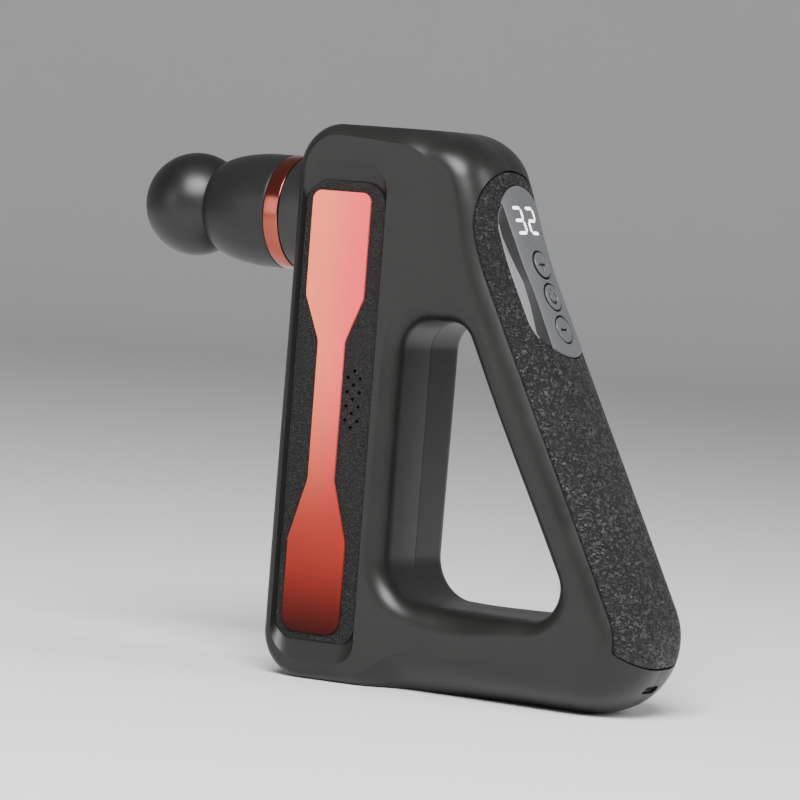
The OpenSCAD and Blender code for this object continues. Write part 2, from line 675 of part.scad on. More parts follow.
module screw(r, length, head_r, head_h) difference() {
    union() {
        cylinder(r = r, h = length);
        translate([0, 0, -head_h]) cylinder(r = head_r, h = head_h);
    }
    translate([0, 0, -head_h - 1]) cylinder(r = 1.2, h = head_h * 0.6 + 1, $fn = 6);
}

module bracket_screws() color([0.6, 0.6, 0.62]) place() {
    for (p = post_places) translate([p[0], plate_y0 - 0.8, p[1]]) rotate([-90, 0, 0]) screw(1.5, 9, 2.8, 1.6);
    for (p = board_posts) translate([p[0], -14.4, p[1]]) rotate([90, 0, 0]) screw(1, 5, 1.9, 1);
}

module shell_screws() color([0.6, 0.6, 0.62]) place() for (p = screw_places)
    translate([p[0], half_t - pocket_depth - 2.2, p[1]]) rotate([90, 0, 0]) screw(1.5, 30, 2.7, 2);

// ---- Nodes: power and electronics ----
cell_pitch = cell_dia + 0.6;
column_mid = (wall + column_d - wall) / 2;

module four_cells() for (sx = [-1, 1], sy = [-1, 1])
    translate([column_mid + sx * cell_pitch / 2, sy * cell_pitch / 2, 0]) children();

module battery_cells() color([0.25, 0.45, 0.7]) place() four_cells() {
    translate([0, 0, cell_z0]) cylinder(d = cell_dia, h = cell_len - 1.4);
    translate([0, 0, cell_z0 + cell_len - 1.4]) cylinder(r = 3.2, h = 1.4);
}

module battery_holder() color([0.15, 0.15, 0.15]) place() {
    translate([column_mid - 7, -15, wall]) cube([20, 30, 7]);
    translate([column_mid - 19, -18.5, 9.5]) cube([38, 37, cell_z0 - 9.5]);
    translate([column_mid, 0, cell_z0 - 1]) cylinder(r = 3, h = cell_len + 2);
    translate([column_mid - 19, -18.5, cell_z0 + cell_len]) cube([38, 37, 2.5]);
}

module main_board() place() {
    color([0.05, 0.3, 0.15]) difference() {
        translate([13.5, -16, board_z0]) cube([31, 1.6, board_h]);
        for (p = board_posts) translate([p[0], -13, p[1]]) rotate([90, 0, 0]) cylinder(r = 1.1, h = 5);
    }
    color([0.1, 0.1, 0.1]) {
        translate([25, -14.5, board_z0 + 19.8]) cube([9, 1.3, 9]);
        for (x = [22, 29, 36]) translate([x, -14.5, board_z0 + 11]) rotate([-90, 0, 0]) cylinder(r = 2.6, h = 7);
        translate([22, -14.5, board_z0 + 37.4]) cube([14, 5, 4.5]);
    }
}

module charging_socket() place() heel_frame() {
    color([0.75, 0.76, 0.78]) difference() {
        translate([-1.6, -4.45, -8.5]) cube([3.2, 8.9, 7.3]);
        translate([-1.25, -4.1, -7.5]) cube([2.5, 8.2, 8]);
    }
    color([0.1, 0.1, 0.1]) translate([-0.35, -3.2, -8]) cube([0.7, 6.4, 6]);
    color([0.05, 0.3, 0.15]) translate([-6.5, -8, -10]) cube([13, 16, 1.6]);
}

// ---- One line per node ----
shell_right();
shell_left();
side_inlay_right();
side_inlay_left();
trim_plate_right();
trim_plate_left();
rear_grip();
control_panel();
display_digits();
display_module();
key_board();
button_plus();
button_power();
button_minus();
neck_collar();
trim_ring();
nose_cone();
guide_bush();
piston();
wrist_pin();
connecting_rod();
rod_bearing();
head_ball();
head_stem();
stem_o_rings();
motor_bracket();
motor_stator();
motor_windings();
motor_bearings();
motor_rotor();
motor_shaft();
crank_disc();
crank_pin();
damper_grommets();
bracket_screws();
battery_cells();
battery_holder();
main_board();
charging_socket();
shell_screws();
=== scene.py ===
"""Percussion massage gun: the visible pieces, their finishes and a small studio.

Everything is in metres in the frame of the packed model: +Z up, the head points along -X,
and the two body halves meet on the plane Y = 0. The shape functions work in millimetres,
with X counted from the front face of the body, and to_frame() turns that into the frame.
"""

import math

import bpy
import numpy as np
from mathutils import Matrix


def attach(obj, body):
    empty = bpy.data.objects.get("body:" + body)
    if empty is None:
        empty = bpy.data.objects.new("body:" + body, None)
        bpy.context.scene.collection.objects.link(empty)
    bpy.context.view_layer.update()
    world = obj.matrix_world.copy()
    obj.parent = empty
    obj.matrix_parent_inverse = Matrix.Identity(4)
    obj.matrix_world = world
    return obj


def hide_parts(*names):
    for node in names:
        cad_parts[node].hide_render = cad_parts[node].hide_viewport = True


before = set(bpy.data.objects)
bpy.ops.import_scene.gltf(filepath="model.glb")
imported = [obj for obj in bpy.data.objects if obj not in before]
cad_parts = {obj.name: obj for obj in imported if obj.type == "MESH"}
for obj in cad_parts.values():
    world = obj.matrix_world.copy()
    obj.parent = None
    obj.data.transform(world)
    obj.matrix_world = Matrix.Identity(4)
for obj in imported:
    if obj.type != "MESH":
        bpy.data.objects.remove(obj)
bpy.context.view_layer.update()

bl_info = {
    "name": "Massage Gun",
    "version": (1, 0, 0),
    "blender": (4, 5, 0),
    "location": "3D View > Sidebar > Massage Gun",
    "description": "Builds the visible pieces and finishes of a percussion massage gun",
    "category": "Object",
}

MM = 0.001
PI = math.pi
SAME_PLACE = 2e-7
SHARP = 38.0
FINE = 5
HEEL_RADIUS = 29.5
GRIP_START = 310.0
GRIP_END = 516.2
GRIP_REACH = math.radians(66.3)
GRIP_TOP_ROUND = 23.0
GRIP_FOOT_ROUND = 6.0
DIGIT_GAP = 2.4
DIGIT_SHIFT = -1.4
BAR_GAP = 0.42
KEY_ROUND = 0.55
KEY_DISH = 0.22
KEY_SIGN_DEPTH = 0.7
KEY_SKIRT = 3.4
KEY_GRID = 121
STRIP = ([-26, -11, 8, 16, 36], [13.9, 12.4, 11.3, 11.2, 11.8])
FACET = ([-20, -7, 6, 15, 27, 34], [17.2, 15.2, 13.1, 13.6, 15.2, 15.0])


# ---------------------------------------------------------------------------
# Sizes and colours
# ---------------------------------------------------------------------------
def length(name, description, default):
    """A length property in metres."""
    return bpy.props.FloatProperty(
        name=name, description=description, default=default, min=0.0, unit="LENGTH", precision=5
    )


def share(name, description, default):
    """A plain number between 0 and 1."""
    return bpy.props.FloatProperty(name=name, description=description, default=default, min=0.0, max=1.0)


def colour(name, description, default):
    """A linear colour."""
    return bpy.props.FloatVectorProperty(
        name=name, description=description, default=default, size=3, subtype="COLOR", min=0.0, max=1.0
    )


class GunBody(bpy.types.PropertyGroup):
    """Sizes of the loop-shaped body."""

    height: length("Height", "From the base to the top face", 0.220)
    thickness: length("Thickness", "From side to side", 0.054)
    base_length: length("Base length", "From the front face to the rear corner point", 0.186)
    top_length: length("Top length", "From the front face to the rear corner point", 0.076)
    column_depth: length("Column depth", "From the front face to the hand opening", 0.0525)
    arch_height: length("Arch height", "Of the opening's ceiling", 0.146)
    sill_height: length("Sill height", "Of the opening's floor", 0.0345)
    handle_depth: length("Handle depth", "Square to the slanted handle", 0.0275)
    wall: length("Wall", "Thickness of the two half shells", 0.0028)
    parting: length("Parting line", "Half width of the line between the halves", 0.00006)
    pocket_depth: length("Pocket depth", "Of the recess in each side", 0.003)
    middle: length("Middle", "From the front face to the middle of the base", 0.080)


class GunControls(bpy.types.PropertyGroup):
    """Sizes of the grip, the panel and its buttons."""

    grip_depth: length("Grip depth", "Thickness of the grip skin", 0.0015)
    groove: length("Groove", "Width of the dark line round the grip and the panel", 0.00042)
    panel_width: length("Panel width", "Across the back", 0.0344)
    panel_length: length("Panel length", "Down the slope", 0.072)
    panel_shift: length("Panel shift", "Of the panel's middle below the first button", 0.0029)
    panel_proud: length("Panel height", "Above the skin of the body", 0.0006)
    button_diameter: length("Button diameter", "Of each button", 0.0106)
    button_pitch: length("Button pitch", "From one button to the next", 0.0136)
    button_top: length("Button top", "Above the middle of the panel frame", 0.0013)
    button_gap: length("Button gap", "Ring of shadow round each button", 0.00085)
    digit_height: length("Digit height", "Of the lit number", 0.0117)
    digit_width: length("Digit width", "Of one digit", 0.0073)


class GunHead(bpy.types.PropertyGroup):
    """Sizes of the neck and the ball head."""

    axis_height: length("Axis height", "Of the head above the base", 0.1835)
    ball_diameter: length("Ball diameter", "Of the soft ball", 0.042)
    neck_diameter: length("Neck diameter", "Of the trim ring", 0.0458)
    collar_length: length("Collar length", "In front of the body", 0.0098)
    ring_width: length("Ring width", "Of the metal trim ring", 0.0068)
    nose_length: length("Nose length", "In front of the ring", 0.034)


class GunFinish(bpy.types.PropertyGroup):
    """Colours of the main finishes."""

    shell: colour("Shell", "Moulded body", (0.010, 0.0097, 0.0090))
    leather: colour("Leather", "Grip skin and side inlays", (0.011, 0.011, 0.011))
    panel: colour("Panel", "Control panel and buttons", (0.080, 0.082, 0.088))
    nose: colour("Nose", "Nose and collar", (0.008, 0.008, 0.0078))
    ball: colour("Ball", "Soft ball", (0.004, 0.004, 0.004))
    ring: colour("Ring", "Trim ring", (0.38, 0.09, 0.065))
    plate_light: colour("Plate, upper front", "Salmon end of the side plates", (0.86, 0.18, 0.095))
    plate_pink: colour("Plate, upper rear", "Pink side of the side plates", (0.84, 0.07, 0.085))
    plate_red: colour("Plate, middle", "Red middle of the side plates", (0.26, 0.024, 0.016))
    plate_dark: colour("Plate, foot", "Dark foot of the side plates", (0.022, 0.0016, 0.0012))
    digits: colour("Digits", "Lit number", (1.0, 1.0, 1.0))


class GunStudio(bpy.types.PropertyGroup):
    """The floor, the light and the camera."""

    floor: colour("Floor", "Plain floor", (0.78, 0.78, 0.78))
    sky: share("Sky", "Strength of the even light from all round", 0.22)
    focal: length("Focal length", "Of the camera's lens", 0.1939)
    sensor: length("Sensor", "Width of the camera's sensor", 0.036)
    azimuth: bpy.props.FloatProperty(
        name="Azimuth", description="Of the camera", default=math.radians(30.3), subtype="ANGLE"
    )
    elevation: bpy.props.FloatProperty(
        name="Elevation", description="Of the camera", default=math.radians(2.9), subtype="ANGLE"
    )
    roll: bpy.props.FloatProperty(
        name="Roll", description="Of the camera", default=math.radians(4.38), subtype="ANGLE"
    )
    distance: length("Distance", "From the camera to the middle of the object", 1.714)


GROUPS = (
    ("gun_body", GunBody),
    ("gun_controls", GunControls),
    ("gun_head", GunHead),
    ("gun_finish", GunFinish),
    ("gun_studio", GunStudio),
)


def sizes(group):
    """The lengths of one property group in millimetres, by name."""
    values = getattr(bpy.context.scene, group)
    kind = dict(GROUPS)[group]
    return type("Sizes", (), {k: getattr(values, k) / MM for k in kind.__annotations__})


# ---------------------------------------------------------------------------
# Outlines and the body's skin
# ---------------------------------------------------------------------------
def left_of(v):
    """The direction a quarter turn to the left of v."""
    return np.array([-v[1], v[0]])


def heading(v):
    """The angle of a direction in the plane."""
    return math.atan2(v[1], v[0])


def unit(v):
    """v scaled to length 1."""
    return v / np.linalg.norm(v)


class Path:
    """Closed outline through rounded corners.

    A corner is (x, z, radius, points, rounding in the plane, rounding across, crease). Its arc is
    centre + radius (cos a, sin a) for a turning evenly; straights are divided evenly and carry
    the left-hand normal, and the roundings and the crease blend along them with s*s*(3 - 2*s).
    """

    def __init__(self, corners, steps, fine=FINE):
        place = np.array([c[:2] for c in corners], float)
        count = len(corners)
        arcs = [self.arc(place[i - 1], place[i], place[(i + 1) % count], *corners[i][2:4], fine)
                for i in range(count)]
        points, normals, edges, starts = [], [], [], []
        for i in range(count):
            starts.append(sum(map(len, points)))
            here = np.array((*corners[i][4:], 0.0)[:3], float)
            there = np.array((*corners[(i + 1) % count][4:], 0.0)[:3], float)
            a = arcs[i][0][-1]
            b = arcs[(i + 1) % count][0][0]
            n = fine * steps[i] + fine - 1
            s = (np.arange(1, n + 1) / (n + 1))[:, None]
            points += [arcs[i][0], a + (b - a) * s]
            normals += [arcs[i][1], np.repeat(left_of(unit(b - a))[None], n, 0)]
            edges += [np.repeat(here[None], len(arcs[i][0]), 0), here + (there - here) * s * s * (3 - 2 * s)]
        self.points = np.concatenate(points)
        self.normals = np.concatenate(normals)
        self.edges = np.concatenate(edges)
        self.starts = np.array(starts)
        gaps = np.linalg.norm(np.diff(np.vstack([self.points, self.points[:1]]), axis=0), axis=1)
        self.run = np.concatenate([[0], np.cumsum(gaps)])

    def even_out(self, spread):
        """Average the roundings along the outline with weights exp(-(distance / spread)^2 / 2)."""
        total = self.run[-1]
        apart = np.abs(self.run[:-1, None] - self.run[None, :-1])
        apart = np.minimum(apart, total - apart)
        step = np.diff(self.run)
        weight = np.exp(-(apart / spread) ** 2 / 2) * (step + np.roll(step, 1))[None]
        self.edges = weight @ self.edges / weight.sum(1, keepdims=True)

    @staticmethod
    def arc(before, corner, after, radius, points, fine):
        """Points and outward normals on one corner's arc."""
        turn = heading(corner - before) - heading(after - corner)
        turn = (turn + PI) % (2 * PI) - PI
        side = -1 if turn < 0 else 1
        way = unit(corner - before)
        start = heading(left_of(way))
        if points == 1:
            a = start - turn / 2
            return corner[None], np.array([[math.cos(a), math.sin(a)]])
        centre = corner - radius * math.tan(abs(turn) / 2) * way - side * radius * left_of(way)
        a = start - turn * np.linspace(0, 1, fine * (points - 1) + 1)
        normal = np.stack([np.cos(a), np.sin(a)], 1)
        return centre + side * radius * normal, normal

    def station(self, distance):
        """Station number at a distance along the outline."""
        return np.interp(distance, self.run, np.arange(len(self.run)))

    def at(self, k):
        """Point, normal and roundings at stations that need not be whole numbers."""
        k = np.asarray(k, float)
        low = np.floor(k).astype(int)
        t = (k - low)[..., None]
        n = len(self.points)
        return tuple(a[low % n] * (1 - t) + a[(low + 1) % n] * t
                     for a in (self.points, self.normals, self.edges))


class Skin:
    """The body's skin as a function of a station on an outline and an angle round its edge.

    With r and s the two roundings at the station, the point at angle a lies
    grow - r(1 - cos a) along the outline's normal, at y = half - s + s sin a + grow. A crease
    c > 0 mixes a share c of the straight chord into the curve, so that it meets the side at an angle.
    """

    def __init__(self):
        b = sizes("gun_body")
        self.half = b.thickness / 2
        self.middle = b.middle
        bend = np.array([0.53 * b.base_length, 0.775 * b.height])
        down = unit(np.array([b.base_length, 0]) - bend)
        self.bend = bend
        over = left_of(unit(bend - np.array([b.top_length, b.height])))
        self.tilt = (heading(over) + heading(left_of(down))) / 2
        slant = bend - b.handle_depth * left_of(down)

        def slant_x(z):
            return slant[0] + (slant[1] - z) * down[0] / -down[1]

        top_x = slant_x(b.arch_height) - 0.7
        bend_z = b.arch_height - 0.26 * (b.arch_height - b.sill_height)
        steps = [6, 4, 3, 4, 9, 5, 3, 2]
        h = b.height
        deep = self.half
        outer = [
            (0, 0, 18, 7, 4, 4),
            (0, h, 18.5, 7, 4.5, 4.5, 0.45),
            (0.72 * b.top_length, h, 0, 1, 6.4, 6.4, 0.7),
            (b.top_length, h, 24, 8, 13, 21),
            (bend[0], bend[1], 150, 3, 20, deep - 2),
            (b.base_length, 0, HEEL_RADIUS, 11, 18, deep - 4),
            (60, 0, 0, 1, 15.5, 14, 0.7),
            (46, 0, 0, 1, 4, 4, 0.7),
        ]
        c = b.column_depth
        inner = [
            (c, b.sill_height, 17, 7, 9, 9),
            (c, b.arch_height, 13, 7, 7.5, 7.5),
            (c + 0.6 * (top_x - c), b.arch_height, 0, 1, 9, 9),
            (top_x, b.arch_height, 11, 8, 8, 8),
            (slant_x(bend_z), bend_z, 100, 3, 6, 6),
            (slant_x(b.sill_height), b.sill_height, 12.5, 11, 8, 9),
            (c + 34, b.sill_height, 0, 1, 13, 14),
            (c + 26, b.sill_height, 0, 1, 13, 14),
        ]
        self.outer = Path(outer, steps)
        self.inner = Path(inner, steps)
        self.outer.even_out(4.5)
        self.inner.even_out(6.0)
        self.heel = np.array([b.base_length - HEEL_RADIUS * math.tan(heading(-down) / 2), HEEL_RADIUS])

    def edge(self, path, side, k, angle, grow):
        """Points on the rounded edge along one outline."""
        point, normal, rounding = path.at(k)
        grow = np.asarray(grow, float)
        r = np.maximum(rounding[..., 0] + grow, 0.6)
        s = np.maximum(rounding[..., 1] + grow, 0.6)
        crease = rounding[..., 2]
        chord = np.abs(angle) / (PI / 2)
        out = side * (grow - r * ((1 - crease) * (1 - np.cos(angle)) + crease * chord))
        rise = (1 - crease) * np.sin(np.abs(angle)) + crease * chord
        y = (self.half + grow - s + s * rise) * np.where(np.asarray(angle) < 0, -1, 1)
        return np.stack([point[..., 0] + normal[..., 0] * out, y, point[..., 1] + normal[..., 1] * out], -1)

    def rim(self, k, angle, grow=0.0):
        """Points on the outside; negative angles are on the right."""
        return self.edge(self.outer, 1, k, angle, grow)

    def throat(self, k, angle, grow=0.0):
        """Points on the wall of the hand opening."""
        return self.edge(self.inner, -1, k, angle, grow)

    def around(self, k, lateral, grow):
        """Points a distance from the middle line: straight across first, then round the edge.

        Beyond the flat middle the angle is what is left of the distance over the mean rounding.
        """
        rounding = self.outer.at(k)[2]
        flat = self.half - rounding[..., 1]
        angle = np.clip(np.abs(lateral) - flat, 0, None) / rounding[..., :2].mean(-1)
        point = self.rim(k, angle, grow)
        point[..., 1] = np.where(np.abs(lateral) < flat, np.abs(lateral), point[..., 1]) * np.sign(lateral)
        return point

    def panel_axes(self):
        """Origin, downhill direction and outward direction of the control panel."""
        out = np.array([math.cos(self.tilt), 0, math.sin(self.tilt)])
        down = np.array([math.sin(self.tilt), 0, -math.cos(self.tilt)])
        return np.array([self.bend[0], 0, self.bend[1]]), down, out

    def over_back(self, x, y, grow):
        """Points on the back of the body above panel coordinates x and y.

        The angle follows from y by inverting y = half - s + s sin a, and the station is
        moved along the outline by what x is still off, a few times over.
        """
        origin, down, _ = self.panel_axes()
        x, y, grow = np.broadcast_arrays(np.asarray(x, float), np.asarray(y, float), np.asarray(grow, float))
        begin = self.outer.run[self.outer.starts[4]]
        distance = begin + x
        for _ in range(14):
            k = self.outer.station(distance)
            s = self.outer.at(k)[2][..., 1] + grow
            rise = np.clip((np.abs(y) - self.half - grow + s) / s, 0.0, 1.0)
            angle = np.arcsin(rise) * np.where(y < 0, -1, 1)
            point = self.rim(k, angle, grow)
            distance = distance + x - (point - origin) @ down
        point[..., 1] = y
        return point


def to_frame(points, middle):
    """Millimetres from the front face to metres in the frame."""
    p = np.array(points, float).reshape(-1, 3)
    p[:, 0] -= middle
    return p * MM


# ---------------------------------------------------------------------------
# Meshes
# ---------------------------------------------------------------------------
def grid_faces(rows, columns, close_rows=False, close_columns=False):
    """Quads of a grid of points, joined round where it closes."""
    i = np.arange(rows if close_rows else rows - 1)[:, None]
    j = np.arange(columns if close_columns else columns - 1)[None, :]
    a = i * columns + j
    b = i * columns + (j + 1) % columns
    c = ((i + 1) % rows) * columns + (j + 1) % columns
    d = ((i + 1) % rows) * columns + j
    return np.stack([a, b, c, d], -1).reshape(-1, 4)


def mesh_object(name, points, faces, caps=(), sharp=SHARP):
    """A smooth-shaded object with outward faces; caps are extra many-sided faces."""
    mesh = bpy.data.meshes.new(name)
    loops = [list(map(int, loop)) for loop in [*faces, *caps]]
    mesh.from_pydata(points.tolist(), [], loops)
    tidy_mesh(mesh, sharp, SAME_PLACE)
    piece = bpy.data.objects.new(name, mesh)
    bpy.context.scene.collection.objects.link(piece)
    return piece


def tidy_mesh(mesh, sharp, merge):
    """Merge points that lie closer than merge, face outwards and mark the sharp edges."""
    import bmesh

    work = bmesh.new()
    work.from_mesh(mesh)
    if merge:
        bmesh.ops.remove_doubles(work, verts=work.verts, dist=merge)
        bmesh.ops.dissolve_degenerate(work, dist=merge, edges=work.edges)
        bmesh.ops.delete(work, geom=[e for e in work.edges if not e.link_faces], context="EDGES")
    bmesh.ops.recalc_face_normals(work, faces=work.faces)
    if work.calc_volume(signed=True) < 0:
        bmesh.ops.reverse_faces(work, faces=work.faces)
    work.to_mesh(mesh)
    work.free()
    mesh.shade_smooth()
    mesh.set_sharp_from_angle(angle=math.radians(sharp))


def tube(name, rings, middle, sharp=SHARP, ends=False):
    """A piece from an array of closed rings (rings, points, 3).

    With ends the first and last ring are closed with a cap, and without it the tube is a loop.
    With ends "shut" both rings are already pressed flat and only need merging.
    """
    count, size = rings.shape[:2]
    faces = grid_faces(count, size, close_rows=not ends, close_columns=True)
    last = (count - 1) * size
    caps = [range(size), range(last, last + size)] if ends is True else ()
    return mesh_object(name, to_frame(rings, middle), faces, caps, sharp)


def open_edges(mesh):
    """How many edges don't join exactly two faces."""
    used = np.empty(len(mesh.loops), dtype=np.int64)
    mesh.loops.foreach_get("edge_index", used)
    return int(np.sum(np.bincount(used, minlength=len(mesh.edges)) != 2))


def carve(piece, cutters, sharp=SHARP, even=True):
    """Take closed cutters out of a piece and leave a plain mesh."""
    for part in (piece, *cutters):
        if open_edges(part.data):
            raise RuntimeError(f"{part.name} isn't closed: {open_edges(part.data)} edges")
    for cutter in cutters:
        cut = piece.modifiers.new("cut", "BOOLEAN")
        cut.operation = "DIFFERENCE"
        cut.solver = "MANIFOLD"
        cut.object = cutter
    seen = piece.evaluated_get(bpy.context.evaluated_depsgraph_get())
    mesh = bpy.data.meshes.new_from_object(seen)
    if len(mesh.polygons) < 10:
        raise RuntimeError(f"cutting {piece.name} left nothing")
    piece.modifiers.clear()
    piece.data = mesh
    tidy_mesh(mesh, sharp, merge=0.0)
    if not even:
        return piece
    weighted = piece.modifiers.new("even", "WEIGHTED_NORMAL")
    weighted.keep_sharp = True
    piece.data = bpy.data.meshes.new_from_object(piece.evaluated_get(bpy.context.evaluated_depsgraph_get()))
    piece.modifiers.clear()
    return piece


def drop(*pieces):
    """Remove cutters."""
    for piece in pieces:
        bpy.data.objects.remove(piece, do_unlink=True)


def revolve(name, profile, height, sides=144, sharp=SHARP):
    """A closed profile of (radius, forward) turned round the head's axis.

    The point at angle a is (-forward, radius sin a, height + radius cos a).
    """
    profile = np.asarray(profile, float)
    a = np.linspace(0, 2 * PI, sides, endpoint=False)[:, None]
    r, f = profile[:, 0], profile[:, 1]
    rings = np.stack([np.broadcast_to(-f, (sides, len(f))), r * np.sin(a), height + r * np.cos(a)], -1)
    return tube(name, rings, sizes("gun_body").middle, sharp)


def rounded_profile(corners, segments=6):
    """Closed profile through corners (x, y, radius) with true arcs."""
    path = Path([(x, y, r, segments if r else 1, 0, 0) for x, y, r in corners], [0] * len(corners), 1)
    return path.points


def turned(corners):
    """A clockwise corner list, as Path expects."""
    p = np.array([c[:2] for c in corners])
    area = np.sum(p[:, 0] * np.roll(p[:, 1], -1) - p[:, 1] * np.roll(p[:, 0], -1))
    return list(corners) if area < 0 else list(corners)[::-1]


def slab(name, loops, middle, sharp=SHARP):
    """A piece from matched outlines (x, z) at given y, capped at both ends."""
    rings = np.stack([np.stack([o[:, 0], np.full(len(o), y), o[:, 1]], -1) for o, y in loops])
    return tube(name, rings, middle, sharp, ends=True)


def mirrored(piece, name):
    """A copy on the other side of the plane Y = 0."""
    mesh = piece.data.copy()
    points = np.empty(len(mesh.vertices) * 3)
    mesh.vertices.foreach_get("co", points)
    points = points.reshape(-1, 3) * [1, -1, 1]
    mesh.vertices.foreach_set("co", points.ravel())
    mesh.flip_normals()
    mesh.update()
    other = bpy.data.objects.new(name, mesh)
    bpy.context.scene.collection.objects.link(other)
    return other


def finish_piece(piece, material, body, slot, *nodes):
    """Give a new piece its material, its body and the nodes that it stands for."""
    piece.data.materials.clear()
    piece.data.materials.append(material)
    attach(piece, body)
    if nodes:
        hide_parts(*nodes)
    return piece


# ---------------------------------------------------------------------------
# Finishes
# ---------------------------------------------------------------------------
class Value:
    """A number socket that takes part in arithmetic; each operation adds one Math node."""

    def __init__(self, finish, socket):
        self.finish = finish
        self.socket = socket

    def math(self, operation, *values):
        """A Math node on these values."""
        return self.finish.add("ShaderNodeMath", {"operation": operation}, dict(enumerate(values)))

    def __add__(self, other):
        return self.math("ADD", self, other)

    __radd__ = __add__

    def __mul__(self, other):
        return self.math("MULTIPLY", self, other)

    __rmul__ = __mul__

    def __sub__(self, other):
        return self.math("SUBTRACT", self, other)

    def __rsub__(self, other):
        return self.math("SUBTRACT", other, self)

    def __truediv__(self, other):
        return self.math("DIVIDE", self, other)

    def __abs__(self):
        return self.math("ABSOLUTE", self)

    def step(self, low, high):
        """0 below low, 1 above high and smooth between them."""
        return self.finish.add("ShaderNodeMapRange", {"interpolation_type": "SMOOTHSTEP"},
                               {"Value": self, "From Min": low, "From Max": high})


class Finish:
    """A material built on one Principled shader, with patterns in Object coordinates."""

    def __init__(self, name, **settings):
        self.material = bpy.data.materials.new(name)
        self.material.use_nodes = True
        self.tree = self.material.node_tree
        self.shader = self.tree.nodes["Principled BSDF"]
        self.place = self.add("ShaderNodeTexCoord", {}, {}, "Object")
        for key, value in settings.items():
            self.set(key.replace("_", " ").title().replace("Ior", "IOR"), value)

    def add(self, kind, settings, inputs, output=0):
        """One node: its type, its settings, and values or links for its inputs."""
        node = self.tree.nodes.new(kind)
        for key, value in settings.items():
            if key == "stops":
                self.stops(node.color_ramp, value)
            else:
                setattr(node, key, value)
        for key, value in inputs.items():
            self.feed(node.inputs[key], value)
        return Value(self, node.outputs[output])

    @staticmethod
    def stops(ramp, stops):
        """Stops of a colour ramp as (position, colour)."""
        while len(ramp.elements) > 1:
            ramp.elements.remove(ramp.elements[-1])
        ramp.elements[0].position = stops[0][0]
        ramp.elements[0].color = (*stops[0][1], 1)
        for position, value in stops[1:]:
            ramp.elements.new(position).color = (*value, 1)

    def feed(self, socket, value):
        """Link a value or set a constant."""
        if isinstance(value, Value):
            self.tree.links.new(value.socket, socket)
        elif hasattr(value, "__len__") and len(value) == 3 and socket.type == "RGBA":
            socket.default_value = (*value, 1)
        else:
            socket.default_value = value

    def set(self, name, value):
        """Feed one input of the shader."""
        self.feed(self.shader.inputs[name], value)

    def axis(self, which):
        """One coordinate, in metres."""
        return self.add("ShaderNodeSeparateXYZ", {}, {0: self.place}, which)

    def stretched(self, factors):
        """The coordinates scaled along each axis."""
        return self.add("ShaderNodeMapping", {}, {"Vector": self.place, "Scale": factors})

    def noise(self, size, detail=3.0, rough=0.55, place=None, warp=0.0):
        """Noise whose lumps are about size metres across."""
        return self.add("ShaderNodeTexNoise", {}, {
            "Vector": place or self.place, "Scale": 1 / size, "Detail": detail,
            "Roughness": rough, "Distortion": warp}, "Fac")

    def cells(self, size, feature="DISTANCE_TO_EDGE", place=None, output="Distance"):
        """Voronoi cells about size metres across."""
        return self.add("ShaderNodeTexVoronoi", {"feature": feature},
                        {"Vector": place or self.place, "Scale": 1 / size}, output)

    def warped(self, size, amount, place=None):
        """The coordinates pushed about by coloured noise."""
        push = self.add("ShaderNodeTexNoise", {}, {"Vector": place or self.place, "Scale": 1 / size,
                                                   "Detail": 2.0}, "Color")
        centred = self.add("ShaderNodeVectorMath", {"operation": "SUBTRACT"}, {0: push, 1: (0.5, 0.5, 0.5)})
        scaled = self.add("ShaderNodeVectorMath", {"operation": "SCALE"}, {0: centred, "Scale": amount})
        return self.add("ShaderNodeVectorMath", {"operation": "ADD"}, {0: place or self.place, 1: scaled})

    def blend(self, factor, a, b):
        """Mix two colours."""
        node = self.tree.nodes.new("ShaderNodeMix")
        node.data_type = "RGBA"
        self.feed(node.inputs[0], factor)
        self.feed(node.inputs[6], a)
        self.feed(node.inputs[7], b)
        return Value(self, node.outputs[2])

    def bump(self, height, distance, strength=1.0):
        """Raise the surface by a height field, distance metres at 1."""
        self.set("Normal", self.add("ShaderNodeBump", {}, {
            "Height": height, "Distance": distance, "Strength": strength}))


def dimmed(base, factor):
    """A colour made darker or lighter."""
    return tuple(min(1.0, c * factor) for c in base)


def moulded(name, base, roughness, grain=0.00035, depth=0.000012, vary=0.12, **settings):
    """Moulded plastic: fine spark-eroded grain, faint handling marks and a soft mottle."""
    f = Finish(name, **settings)
    mottle = f.noise(0.018, 4.0, 0.6)
    fine = f.noise(grain, 2.0, 0.5)
    marks = f.noise(0.05, 5.0, 0.65, f.stretched((1.0, 1.0, 3.5)), 1.2).step(0.42, 0.75)
    f.set("Base Color", f.blend(mottle.step(0.3, 0.7), dimmed(base, 1 - vary), dimmed(base, 1 + vary)))
    f.set("Roughness", roughness + (mottle - 0.5) * 0.10 + (fine - 0.5) * 0.08 - marks * 0.05)
    f.bump(fine + f.noise(grain * 3, 2.0, 0.5) * 0.6, depth)
    return f.material


